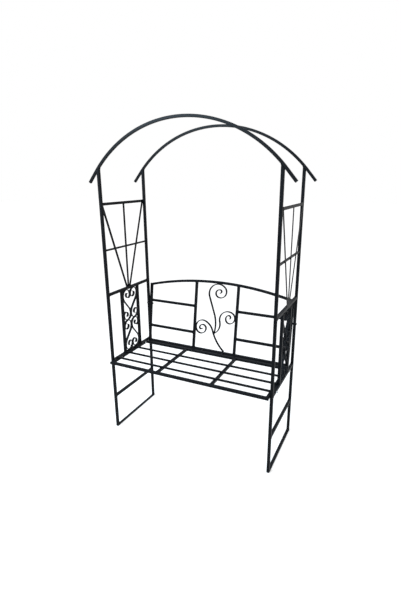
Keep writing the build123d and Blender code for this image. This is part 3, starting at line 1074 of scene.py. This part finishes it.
@dataclass
class Seat:
    """The seat: a mitred frame of tube, two cross bars and the slats that lie on them.

    Args:
        slats: How many slats there are.
        steel: The finish.
        weld: The beads round the tubes' joints.
        tack: The beads along the slats.
        tack_inset_share: How far those stop short of a tube's edges, as a share of its width.
        beads: The beads laid so far.
    """

    slats: int = 3
    steel: Finish = PowderCoat()
    weld: Bead = Bead()
    tack: Bead = Bead(radius=0.0013)
    tack_inset_share: float = 0.12
    beads: list[Surface] = field(default_factory=list)

    def build(self, shop: Workshop) -> None:
        """Makes the seat's pieces and the beads that join them."""
        self.frame_rails(shop)
        self.cross_bars(shop)
        self.slat_bars(shop)
        shop.piece("seat_welds", joined(self.beads), self.steel, plain=False)

    def frame_rails(self, shop: Workshop) -> None:
        """Makes the four rails, each cut at 45 degrees at both ends."""
        section = Stock.TUBE.value
        front, back = node_box("seat_front_rail"), node_box("seat_back_rail")
        outer_low, outer_high = front[0], np.array([front[1][0], back[1][1], back[1][2]])
        middle = (outer_low + outer_high) / 2
        for node in ("seat_front_rail", "seat_back_rail", "seat_left_rail", "seat_right_rail"):
            low, high = node_box(node)
            lengthwise = high[0] - low[0] > high[1] - low[1]
            rings = (Along.X if lengthwise else Along.Y).bar(section, low, high)
            rings = self.mitred(rings, (low + high) / 2, middle, lengthwise)
            shop.piece(node + "_tube", skin(rings), self.steel, node)
        for x in (outer_low[0], outer_high[0]):
            for y in (outer_low[1], outer_high[1]):
                corner = np.array([x, y, middle[2]])
                inward = np.sign(middle - corner) * np.array([1, 1, 0])
                self.beads.append(self.mitre_bead(corner, inward * section.across, section.deep))

    def mitred(
        self, rings: np.ndarray, centre: np.ndarray, middle: np.ndarray, lengthwise: bool
    ) -> np.ndarray:
        """Cuts both ends of a frame rail at 45 degrees, the longer side outwards.

        Args:
            rings: The rail's rings.
            centre: Its middle.
            middle: The middle of the seat's frame.
            lengthwise: True where the rail runs across the seat.

        Returns:
            The rings with slanted ends.
        """
        along = X_AXIS if lengthwise else Y_AXIS
        across = Y_AXIS if lengthwise else X_AXIS
        outward = np.sign((centre - middle) @ across)
        reach = ((rings - centre) @ across) * outward - Stock.TUBE.value.across / 2
        away = np.sign((rings - centre) @ along)
        return rings + (reach * away)[..., None] * along

    def mitre_bead(self, corner: np.ndarray, inward: np.ndarray, deep: float) -> Surface:
        """The bead round a mitre, from the frame's corner inwards and over both faces."""
        up = Z_AXIS * deep / 2
        inner = corner + inward
        return self.weld.round(np.array([corner + up, inner + up, inner - up, corner - up]))

    def cross_bars(self, shop: Workshop) -> None:
        """Makes the tubes from the front rail to the back rail."""
        for side in Side:
            node = "seat_" + side.word + "_cross_bar"
            low, high = node_box(node)
            rings = Along.Y.bar(Stock.TUBE.value, low, high)
            shop.piece(node + "_tube", skin(rings), self.steel, node)
            for at in (low[1], high[1]):
                self.beads.append(self.weld.round(corners_of(low, high, 1, at)))

    def slat_bars(self, shop: Workshop) -> None:
        """Makes the slats, welded to each tube that they cross."""
        tubes = ["seat_" + side.word + piece for side in Side for piece in ("_rail", "_cross_bar")]
        carriers = [node_box(tube) for tube in tubes]
        for number in range(1, self.slats + 1):
            node = "seat_slat_" + str(number)
            low, high = node_box(node)
            rings = Along.X.bar(Stock.SQUARE_BAR.value, low, high)
            shop.piece(node + "_bar", skin(rings), self.steel, node)
            for carrier_low, carrier_high in carriers:
                ease = (carrier_high[0] - carrier_low[0]) * self.tack_inset_share
                for y, outward in ((low[1], -Y_AXIS), (high[1], Y_AXIS)):
                    start = np.array([carrier_low[0] + ease, y, low[2]])
                    end = np.array([carrier_high[0] - ease, y, low[2]])
                    self.beads.append(self.tack.between(start, end, outward + Z_AXIS))


@dataclass
class Backrest:
    """The backrest: a reclined frame under an arched crown, with an ornament of bent strips.

    Args:
        recline: How far it leans back, in degrees.
        crown_rise: How far the crown's middle rises above its ends.
        shoulder: How far its ends are above the bottom rail, up the slope.
        outer_reach: How far the outer stiles' centre lines are from the middle.
        inner_reach: How far the inner stiles' centre lines are from the middle.
        rungs: How far up the slope the short rails are.
        stem_start: Where the stem starts on the slope.
        stem_heading: Its first direction, in degrees.
        stem_foot: Its moves up to the bend that touches the left inner stile.
        stem_spiral: The turn of that bend, in degrees.
        stem_curls: Its moves after that bend.
        plume_start: Where the plume starts on the slope.
        plume_heading: Its first direction, in degrees.
        plume_foot: Its moves up to the bend that touches the crown.
        plume_spiral: The turn of that bend, in degrees.
        plume_curls: Its moves after that bend.
        leaf_start: Where the leaf starts on the slope.
        leaf_heading: Its first direction, in degrees.
        leaf_foot: Its moves up to the bend that touches the right inner stile.
        leaf_spiral: The turn of that bend, in degrees.
        leaf_curls: Its moves after that bend.
        steel: The finish.
        weld: The beads.
        beads: The beads laid so far.
    """

    recline: float = 8.2
    crown_rise: float = 0.060
    shoulder: float = 0.387
    outer_reach: float = 0.480
    inner_reach: float = 0.1425
    rungs: tuple[float, float] = (0.105, 0.279)
    stem_start: tuple[float, float] = (0.0697, 0.0112)
    stem_heading: float = 139.5
    stem_foot: tuple = ((0.280, -31.0), (0.090, 52.0))
    stem_spiral: float = 137.0
    stem_curls: tuple = ((0.035, 152.0), (0.023, 165.0), (0.0105, 170.0))
    plume_start: tuple[float, float] = (-0.0041, 0.1129)
    plume_heading: float = 73.3
    plume_foot: tuple = ((0.210, 37.0), (0.113, 0.0))
    plume_spiral: float = -151.0
    plume_curls: tuple = ((0.0395, -165.0), (0.0245, -165.0), (0.0105, -170.0))
    leaf_start: tuple[float, float] = (0.0028, 0.1215)
    leaf_heading: float = 33.0
    leaf_foot: tuple = ((0.070, 73.0), (0.056, -134.0))
    leaf_spiral: float = -134.0
    leaf_curls: tuple = ((0.027, -165.0), (0.0125, -170.0))
    steel: Finish = PowderCoat()
    weld: Bead = Bead()
    beads: list[Surface] = field(default_factory=list)

    @property
    def slope(self) -> Layout:
        """The backrest's plane, from the middle of its bottom rail."""
        low, high = node_box("back_bottom_rail")
        lean = radians(self.recline)
        return Layout(tuple((low + high) / 2), (1, 0, 0), (0, sin(lean), cos(lean)))

    @property
    def crown_radius(self) -> float:
        """The radius of the crown's centre line."""
        return (self.outer_reach**2 + self.crown_rise**2) / (2 * self.crown_rise)

    @property
    def crown_centre(self) -> float:
        """The height of the crown's centre on the slope."""
        return self.shoulder + self.crown_rise - self.crown_radius

    def build(self, shop: Workshop) -> None:
        """Makes the backrest's pieces and the beads that join them."""
        self.bottom_rail(shop)
        self.crown(shop)
        self.outer_stiles(shop)
        self.inner_stiles(shop)
        self.rung_tubes(shop)
        self.ornament(shop)
        shop.piece("backrest_welds", joined(self.beads), self.steel, plain=False)

    def bottom_rail(self, shop: Workshop) -> None:
        """Makes the rail level with the seat."""
        low, high = node_box("back_bottom_rail")
        rings = Along.X.bar(Stock.TUBE.value, low, high)
        shop.piece("back_bottom_rail_tube", skin(rings), self.steel, "back_bottom_rail")
        for at in (low[0], high[0]):
            self.beads.append(self.weld.round(corners_of(low, high, 0, at)))

    def mitre(self, side: Side) -> tuple[np.ndarray, np.ndarray]:
        """A point and the normal of the plane where the crown meets an outer stile."""
        lean = atan2(self.outer_reach, self.crown_radius - self.crown_rise)
        corner = self.slope.place(np.array([side.value * self.outer_reach, self.shoulder]))
        along = np.array([-side.value * cos(lean), sin(lean) - 1])
        square = np.array([-along[1], along[0]]) / hypot(*along)
        return corner, square @ self.slope.axes()[:2]

    def mitre_corners(self, side: Side) -> np.ndarray:
        """The corners of the joint between the crown and an outer stile."""
        lean = atan2(self.outer_reach, self.crown_radius - self.crown_rise)
        along = unit(np.array([-side.value * cos(lean), sin(lean) - 1]))
        half = Stock.TUBE.value.across / 2
        reach = half / abs(along[0])
        corner = np.array([side.value * self.outer_reach, self.shoulder])
        ends = [corner + along * reach, corner - along * reach]
        flat = [np.append(ends[k], w) for k, w in ((0, half), (0, -half), (1, -half), (1, half))]
        return self.slope.place(np.array(flat))

    def crown(self, shop: Workshop) -> None:
        """Makes the arched top rail, mitred to the outer stiles."""
        turn = degrees(atan2(self.outer_reach, self.crown_radius - self.crown_rise))
        route = Route((-self.outer_reach, self.shoulder), turn).bend(self.crown_radius, -2 * turn)
        rings = carried(Stock.TUBE.value, self.slope, route)
        rings = trimmed(rings, 0, self.mitre(Side.LEFT))
        rings = trimmed(rings, -1, self.mitre(Side.RIGHT))
        shop.piece("back_crown_rail_tube", skin(rings), self.steel, "back_crown_rail")
        for side in Side:
            self.beads.append(self.weld.round(self.mitre_corners(side)))

    def outer_stiles(self, shop: Workshop) -> None:
        """Makes the outer uprights, cut level at the foot and mitred at the top."""
        low, _ = node_box("back_bottom_rail")
        for side in Side:
            node = "back_" + side.word + "_outer_stile"
            route = Route((side.value * self.outer_reach, 0), 90).run(self.shoulder)
            rings = carried(Stock.TUBE.value, self.slope, route)
            rings = trimmed(rings, 0, (low, Z_AXIS))
            rings = trimmed(rings, -1, self.mitre(side))
            shop.piece(node + "_tube", skin(rings), self.steel, node)

    def inner_stiles(self, shop: Workshop) -> None:
        """Makes the inner uprights between the bottom rail and the crown."""
        _, top = node_box("back_bottom_rail")
        under = self.crown_radius - Stock.TUBE.value.across / 2
        for side in Side:
            node = "back_" + side.word + "_inner_stile"
            u = side.value * self.inner_reach
            route = Route((u, Stock.TUBE.value.across), 90).run(self.shoulder)
            rings = carried(Stock.TUBE.value, self.slope, route)
            rings = trimmed(rings, 0, (top, Z_AXIS))
            rings = under_arc(rings, self.slope, self.crown_centre, under)
            shop.piece(node + "_tube", skin(rings), self.steel, node)
            self.beads.append(self.weld.round(self.stile_corners(u, top, None)))
            self.beads.append(self.weld.round(self.stile_corners(u, top, under)))

    def stile_corners(self, u: float, top: np.ndarray, under: "float | None") -> np.ndarray:
        """The corners of an upright's foot on the bottom rail, or of its top under the crown.

        Args:
            u: The upright's place across the backrest.
            top: A point of the bottom rail's top face.
            under: The radius of the crown's underside, or None for the foot.

        Returns:
            Four points in order.
        """
        half = Stock.TUBE.value.across / 2
        left, right = u - half, u + half
        flat = np.array([(left, 0, -half), (right, 0, -half), (right, 0, half), (left, 0, half)])
        if under is None:
            origin, axes = np.array(self.slope.origin), self.slope.axes()
            flat[:, 1] = (top[2] - origin[2] - flat[:, 2] * axes[2, 2]) / axes[1, 2]
        else:
            flat[:, 1] = self.crown_centre + np.sqrt(under**2 - flat[:, 0] ** 2)
        return self.slope.place(flat)

    def rung_tubes(self, shop: Workshop) -> None:
        """Makes the two short rails on each side, between the inner and the outer stile."""
        half = Stock.TUBE.value.across / 2
        for side in Side:
            node = "back_" + side.word + "_rungs"
            inner, outer = self.inner_reach + half, self.outer_reach - half
            near, far = sorted((side.value * inner, side.value * outer))
            bars = []
            for rise in self.rungs:
                rings = carried(Stock.TUBE.value, self.slope, Route((near, rise), 0).run(far - near))
                bars.append(skin(rings))
                for u in (near, far):
                    low, high = rise - half, rise + half
                    flat = [(u, low, -half), (u, high, -half), (u, high, half), (u, low, half)]
                    self.beads.append(self.weld.round(self.slope.place(np.array(flat))))
            shop.piece(node + "_tubes", joined(bars), self.steel, node)

    def against_stile(self, route: Route, toward: int) -> float:
        """The radius of a bend that just touches an inner stile.

        Args:
            route: The path up to that bend.
            toward: -1 for a bend to the left at the left stile, 1 for one to the right.

        Returns:
            The radius.
        """
        point, heading = route.end()
        clear = (Stock.TUBE.value.across + Stock.ORNAMENT_STRIP.value.across) / 2
        wall = toward * (self.inner_reach - clear)
        left = -toward * cos(radians(heading + 90))
        return (wall - point[0]) / (left + toward)

    def against_crown(self, route: Route) -> float:
        """The radius of a bend to the right that just touches the crown's underside."""
        point, heading = route.end()
        reach = self.crown_radius - (Stock.TUBE.value.across + Stock.ORNAMENT_STRIP.value.across) / 2
        gap = point - np.array([0, self.crown_centre])
        right = np.array([cos(radians(heading - 90)), sin(radians(heading - 90))])
        return (reach**2 - gap @ gap) / (2 * (right @ gap + reach))

    def ornament(self, shop: Workshop) -> None:
        """Makes the three bent strips: the stem, the plume and the leaf."""
        _, top = node_box("back_bottom_rail")
        stem = Route(self.stem_start, self.stem_heading).follow(self.stem_foot)
        stem.bend(self.against_stile(stem, -1), self.stem_spiral).follow(self.stem_curls)
        plume = Route(self.plume_start, self.plume_heading).follow(self.plume_foot)
        plume.bend(self.against_crown(plume), self.plume_spiral).follow(self.plume_curls)
        leaf = Route(self.leaf_start, self.leaf_heading).follow(self.leaf_foot)
        leaf.bend(self.against_stile(leaf, 1), self.leaf_spiral).follow(self.leaf_curls)
        strip = Stock.ORNAMENT_STRIP.value
        for name, route in (("stem", stem), ("plume", plume), ("leaf", leaf)):
            rings = carried(strip, self.slope, route, ease=strip.corner)
            if name == "stem":
                rings[:3, :, 2] = np.maximum(rings[:3, :, 2], top[2])
            shop.piece("ornament_" + name + "_strip", skin(rings), self.steel, "ornament_" + name)
        spots = [stem.points[0], plume.points[0], leaf.points[0], stem.points[np.argmin(stem.points[:, 0])]]
        spots += [plume.points[np.argmax(plume.points[:, 1])], leaf.points[np.argmax(leaf.points[:, 0])]]
        for spot in spots:
            reach = strip.deep * SEAM_SHARE
            ends = self.slope.place(np.array([[*spot, -reach], [*spot, reach]]))
            self.beads.append(self.weld.between(ends[0], ends[1], X_AXIS))


def about(start: np.ndarray, direction: np.ndarray) -> Layout:
    """The plane square to a bolt's axis, where its head or a spacer starts."""
    up = np.roll(direction, 1)
    return Layout(tuple(start), tuple(np.cross(up, direction)), tuple(up))


@dataclass(frozen=True)
class Bolt:
    """A hexagon bolt with its nut.

    Args:
        size: The shank's diameter.
        across: The distance across the flats of the head and the nut.
        head: The head's height.
        nut: The nut's height.
        over: How far the thread shows past the nut.
        pitch: The thread's pitch.
        face: The thickness of the round face under the head.
        chamfer: The height of the chamfers.
        rim: The height of the smallest steps.
        around: Points round it.
    """

    size: float = 0.006
    across: float = 0.010
    head: float = 0.004
    nut: float = 0.005
    over: float = 0.004
    pitch: float = 0.001
    face: float = 0.0010
    chamfer: float = 0.0006
    rim: float = 0.0001
    around: int = 48

    def turned(self, heights: Sequence[float], limits: Sequence[float], hexed: Sequence[bool]) -> np.ndarray:
        """Rings round Z. A ring's radius is its limit, or the hexagon's where that is less.

        The hexagon's radius at an angle is half the distance across its flats over the cosine
        of the angle from the nearest flat's middle.

        Args:
            heights: The height of each ring.
            limits: The largest radius of each ring.
            hexed: Whether each ring follows the hexagon.

        Returns:
            The rings.
        """
        spin = np.arange(self.around) * tau / self.around
        hexagon = self.across / 2 / np.cos((spin + pi / 6) % (pi / 3) - pi / 6)
        limit = np.array(limits)[:, None]
        radius = np.where(np.array(hexed)[:, None], np.minimum(limit, hexagon), limit)
        height = np.broadcast_to(np.array(heights)[:, None], radius.shape)
        return np.stack([radius * np.cos(spin), radius * np.sin(spin), height], axis=-1)

    def head_rings(self) -> np.ndarray:
        """The head, from the washer face at zero down to its chamfered top."""
        corner = self.across / sqrt(3)
        flat = self.across / 2
        rim, face, top = self.rim, self.face, -self.head
        heights = [0.0, -rim, rim - face, -face, top + self.chamfer, top + rim, top, top]
        limits = [flat * 1.2, flat * 1.26, flat * 1.26, corner, corner, flat, flat * 0.86, flat * 0.7]
        hexed = [False, False, False, True, True, True, False, False]
        return self.turned(heights, limits, hexed)

    def nut_rings(self, grip: float) -> np.ndarray:
        """The nut, from its washer face at the grip to its chamfered top."""
        corner, flat = self.across / sqrt(3), self.across / 2
        steps = [0.0, self.chamfer, self.nut - self.chamfer, self.nut - self.rim, self.nut]
        limits = [flat * 0.98, corner, corner, flat * 1.02, flat * 0.8]
        return self.turned([grip + step for step in steps], limits, [True] * 5)

    def thread_rings(self, grip: float) -> np.ndarray:
        """The thread past the nut: its radius runs up and down once for each pitch."""
        start, end = grip + self.nut - self.pitch, grip + self.nut + self.over
        heights = np.arange(start, end, self.pitch / 4)
        depth = np.array([0.0, 0.5, 1.0, 0.5])[np.arange(len(heights)) % 4] * self.pitch * 0.45
        limits = self.size / 2 - depth
        heights = np.concatenate([heights, [end, end]])
        limits = np.concatenate([limits, [self.size * 0.42, self.size * 0.34]])
        return self.turned(heights, limits, [False] * len(heights))

    def washer_rings(self, grip: float, thick: float = 0.0012) -> np.ndarray:
        """A plain washer under the nut."""
        radius = self.size * 1.02
        steps = [0.0, thick * 0.15, thick * 0.85, thick]
        limits = [radius * 0.97, radius, radius, radius * 0.97]
        return self.turned([grip + step for step in steps], limits, [False] * 4)

    def fitted(self, start: np.ndarray, direction: np.ndarray, grip: float) -> list[Surface]:
        """The bolt's surfaces in place.

        Args:
            start: Where the head's washer face lies.
            direction: From the head to the nut.
            grip: The length between the head and the nut.

        Returns:
            The head, the washer, the nut and the thread's end.
        """
        layout = about(start, direction)
        parts = [self.head_rings(), self.washer_rings(grip), self.nut_rings(grip), self.thread_rings(grip)]
        return [skin(layout.place(part)) for part in parts]


@dataclass
class Fasteners:
    """The bolts that hold the seat and the backrest, and the spacers on them.

    Args:
        front_inset: The front seat bolts' distance from the front rail's centre line.
        back_inset: The back seat bolts' distance from the back rail's centre line.
        rail_reach: The rail bolts' distance from the middle.
        rings: How many spacer rings fill each gap beside the backrest.
        ring: The thickness of such a ring.
        ring_across: The diameter of the spacers.
        bore: The diameter of their holes.
        bolt: The bolt and nut used everywhere.
        zinc: The finish of the seat's bolts.
        black: The finish of the other bolts and of the spacers.
    """

    front_inset: float = 0.083
    back_inset: float = 0.018
    rail_reach: float = 0.070
    rings: int = 1
    ring: float = 0.004
    ring_across: float = 0.014
    bore: float = 0.0064
    bolt: Bolt = Bolt()
    zinc: Finish = ZincPlate()
    black: Finish = PowderCoat()

    def build(self, shop: Workshop) -> None:
        """Makes the bolts and the spacers."""
        self.seat_bolts(shop)
        self.stile_bolts(shop)
        self.rail_bolts(shop)
        self.spacers(shop)

    def seat_bolts(self, shop: Workshop) -> None:
        """Makes the bolts from the seat's side rails out through the side panels."""
        front, back = node_box("seat_front_rail"), node_box("seat_back_rail")
        places = [(front[0] + front[1])[1] / 2 + self.front_inset, (back[0] + back[1])[1] / 2 - self.back_inset]
        made = []
        for side in Side:
            inner = node_box("seat_" + side.word + "_rail")
            outer = node_box(side.word + "_seat_support")
            start = inner[0][0] if side is Side.RIGHT else inner[1][0]
            far = outer[1][0] if side is Side.RIGHT else outer[0][0]
            height = (inner[0] + inner[1])[2] / 2
            for y in places:
                at = np.array([start, y, height])
                made += self.bolt.fitted(at, side.value * X_AXIS, abs(far - start))
        shop.piece("seat_bolt_set", joined(made), self.zinc, "seat_bolts")

    def stile_axis(self, side: Side) -> tuple[np.ndarray, float]:
        """Where a stile bolt's head lies, and the length that it holds."""
        low, high = node_box("stile_bolts")
        post = node_box(side.word + "_back_post")
        stile = node_box("back_" + side.word + "_outer_stile")
        start = post[1][0] if side is Side.RIGHT else post[0][0]
        far = stile[0][0] if side is Side.RIGHT else stile[1][0]
        return np.array([start, (low + high)[1] / 2, (low + high)[2] / 2]), abs(far - start)

    def stile_bolts(self, shop: Workshop) -> None:
        """Makes the bolts from outside the back posts in through the backrest."""
        made = []
        for side in Side:
            at, grip = self.stile_axis(side)
            made += self.bolt.fitted(at, -side.value * X_AXIS, grip)
        shop.piece("stile_bolt_set", joined(made), self.black, "stile_bolts")

    def rail_bolts(self, shop: Workshop) -> None:
        """Makes the bolts from the seat's back rail through the backrest's bottom rail."""
        seat, rest = node_box("seat_back_rail"), node_box("back_bottom_rail")
        height = (seat[0] + seat[1])[2] / 2
        made = []
        for side in Side:
            at = np.array([side.value * self.rail_reach, seat[0][1], height])
            made += self.bolt.fitted(at, Y_AXIS, float(rest[1][1] - seat[0][1]))
        shop.piece("rail_bolt_set", joined(made), self.black, "rail_bolts")

    def ring_on(self, start: np.ndarray, direction: np.ndarray, length: float) -> Surface:
        """A ring or sleeve: a rectangle with round corners, carried round the bolt.

        Args:
            start: Where it begins on the bolt.
            direction: Along the bolt.
            length: Its length.

        Returns:
            Its surface.
        """
        wall = (self.ring_across - self.bore) / 2
        outline = Section(wall, length, min(wall, length) / 8, "ring").outline()
        radius = (self.ring_across - wall) / 2 + outline[:, 0]
        spin = (np.arange(40) * tau / 40)[:, None]
        height = np.broadcast_to(length / 2 + outline[:, 1], (40, len(outline)))
        rings = np.stack([radius * np.cos(spin), radius * np.sin(spin), height], axis=-1)
        layout = about(start, direction)
        return skin(layout.place(rings), closed=True)

    def spacers(self, shop: Workshop) -> None:
        """Makes the rings beside the backrest and the sleeves behind the seat."""
        made = []
        for side in Side:
            at, _ = self.stile_axis(side)
            inner = node_box(side.word + "_back_post")[0 if side is Side.RIGHT else 1][0]
            for number in range(self.rings):
                start = np.array([inner - side.value * number * self.ring, at[1], at[2]])
                made.append(self.ring_on(start, -side.value * X_AXIS, self.ring))
        seat, rest = node_box("seat_back_rail"), node_box("back_bottom_rail")
        for side in Side:
            start = np.array([side.value * self.rail_reach, seat[1][1], (seat[0] + seat[1])[2] / 2])
            made.append(self.ring_on(start, Y_AXIS, float(rest[0][1] - seat[1][1])))
        shop.piece("bolt_spacers", joined(made), self.black, "spacers")


@dataclass
class Feet:
    """The plastic plugs under the four posts.

    Args:
        head: The thickness of a plug's head.
        plastic: The finish.
    """

    head: float = 0.002
    plastic: Finish = MouldedPlastic()

    def build(self, shop: Workshop) -> None:
        """Makes the plugs."""
        made = []
        for side in Side:
            for end in End:
                low, high = node_box(side.word + "_" + end.word + "_post")
                layout = Layout((float(low[0] + high[0]) / 2, float(low[1] + high[1]) / 2, 0.0))
                made.append(plug(Stock.TUBE.value, layout, np.array([0.0, float(low[2])]), -90.0, self.head))
        shop.piece("foot_plug_set", joined(made), self.plastic, "foot_plugs")


# The studio


@dataclass(frozen=True)
class Lamp:
    """A soft box.

    Args:
        name: Its name.
        place: Where it stands.
        aim: What it points at.
        size: Its width and height.
        power: Its power in watts.
        colour: The colour of its light.
    """

    name: str
    place: tuple[float, float, float]
    aim: tuple[float, float, float]
    size: tuple[float, float]
    power: float
    colour: tuple[float, float, float] = (1.0, 1.0, 1.0)

    def hang(self) -> None:
        """Puts the lamp in the scene."""
        light = bpy.data.lights.new(self.name, "AREA")
        light.shape = "RECTANGLE"
        light.size, light.size_y = self.size
        light.energy = self.power
        light.color = self.colour
        made = bpy.data.objects.new(self.name, light)
        bpy.context.scene.collection.objects.link(made)
        forward = unit(np.array(self.aim) - np.array(self.place))
        made.matrix_world = looking(np.array(self.place), forward, 0.0)


def looking(place: np.ndarray, forward: np.ndarray, roll: float) -> Matrix:
    """The matrix of a camera or lamp.

    Args:
        place: Where it is.
        forward: Where it looks.
        roll: How far it is turned about that direction, in radians.

    Returns:
        The matrix.
    """
    right = unit(np.cross(forward, Z_AXIS))
    up = np.cross(right, forward)
    turned_right = right * cos(roll) + up * sin(roll)
    turned_up = up * cos(roll) - right * sin(roll)
    columns = np.stack([turned_right, turned_up, -forward, place], axis=1)
    return Matrix([*columns.tolist(), [0, 0, 0, 1]])


@dataclass
class Studio:
    """The pale floor, the even light and the camera.

    Args:
        floor_reach: Half the floor's width.
        floor_colour: Its colour.
        floor_glow: What it adds where the camera or a reflection looks at it.
        fill: How much light comes evenly from all round.
        focal: The camera's focal length in pixels.
        tall: The picture's height in pixels.
        eye: Where the camera is.
        yaw: How far it is turned to the left, in radians.
        pitch: How far it looks down, in radians.
        roll: How far it is turned about its own line of sight, in radians.
        lamps: The soft boxes.
    """

    floor_reach: float = 25.0
    floor_colour: Colour = opaque(0.86, 0.86, 0.86)
    floor_glow: float = 0.45
    fill: float = 0.72
    focal: float = 400.97
    tall: float = 601.0
    eye: tuple[float, float, float] = (0.9786, -1.9871, 1.5165)
    yaw: float = 0.45866
    pitch: float = 0.29349
    roll: float = -0.00794
    lamps: tuple[Lamp, ...] = (
        Lamp("softbox_front", (-0.9, -1.7, 2.2), (0.0, -0.1, 1.8), (1.0, 0.7), 70.0, (0.66, 0.86, 1.0)),
        Lamp("softbox_left", (-3.2, -1.4, 2.2), (0.0, 0.0, 0.9), (1.2, 1.8), 12.0),
    )

    def build(self) -> None:
        """Puts up the camera, the lamps, the floor and the world."""
        self.camera()
        for lamp in self.lamps:
            lamp.hang()
        self.floor()
        self.world()
        bpy.context.scene.view_settings.view_transform = "Standard"

    def camera(self) -> None:
        """Puts the camera where the photograph was taken from."""
        lens = bpy.data.cameras.new("camera")
        lens.sensor_width = 36.0
        lens.lens = self.focal / self.tall * lens.sensor_width
        made = bpy.data.objects.new("camera", lens)
        bpy.context.scene.collection.objects.link(made)
        level = cos(self.pitch)
        forward = np.array([-sin(self.yaw) * level, cos(self.yaw) * level, -sin(self.pitch)])
        made.matrix_world = looking(np.array(self.eye), forward, self.roll)
        bpy.context.scene.camera = made

    def seen(self, shader: Shader) -> Value:
        """One where the camera, a reflection or a view through glass looks, and else zero."""
        rays = [shader.node("LightPath", {}, "Is " + kind + " Ray") for kind in ("Camera", "Glossy", "Transmission")]
        return (rays[0] + rays[1] + rays[2]).below(1.0)

    def floor(self) -> None:
        """Lays the floor."""
        made = bpy.data.materials.new("pale_floor")
        made.use_nodes = True
        shader = Shader(made.node_tree)
        glow = self.seen(shader) * self.floor_glow
        glow = shader.node("CombineColor", {0: glow, 1: glow, 2: glow}, "Color")
        shown = {"Base Color": self.floor_colour, "Roughness": 0.9, "Specular IOR Level": 0.1}
        shown.update({"Emission Color": glow, "Emission Strength": 1.0})
        finish_tree(shader, shader.node("BsdfPrincipled", shown, "BSDF"))
        reach = self.floor_reach
        mesh = bpy.data.meshes.new("floor")
        corners = [(-reach, -reach, 0), (reach, -reach, 0), (reach, reach, 0), (-reach, reach, 0)]
        mesh.from_pydata(corners, [], [(0, 1, 2, 3)])
        mesh.materials.append(made)
        floor = bpy.data.objects.new("floor", mesh)
        bpy.context.scene.collection.objects.link(floor)

    def world(self) -> None:
        """Lights the scene evenly, with a white background."""
        world = bpy.data.worlds.new("white_studio")
        world.use_nodes = True
        bpy.context.scene.world = world
        shader = Shader(world.node_tree)
        strength = self.seen(shader) * (1.0 - self.fill) + self.fill
        shown = {"Color": opaque(1, 1, 1), "Strength": strength}
        finish_tree(shader, shader.node("Background", shown), "OutputWorld")


def main() -> None:
    """Builds the bench and the studio."""
    logging.basicConfig(level=logging.INFO, format="%(message)s")
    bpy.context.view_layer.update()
    shop = Workshop()
    arches = Arches()
    arches.build(shop)
    for side in Side:
        SidePanel(side, arches).build(shop)
    Seat().build(shop)
    Backrest().build(shop)
    Fasteners().build(shop)
    Feet().build(shop)
    Studio().build()
    LOG.info("%d faces in all", shop.faces)


if __name__ == "__main__":
    main()
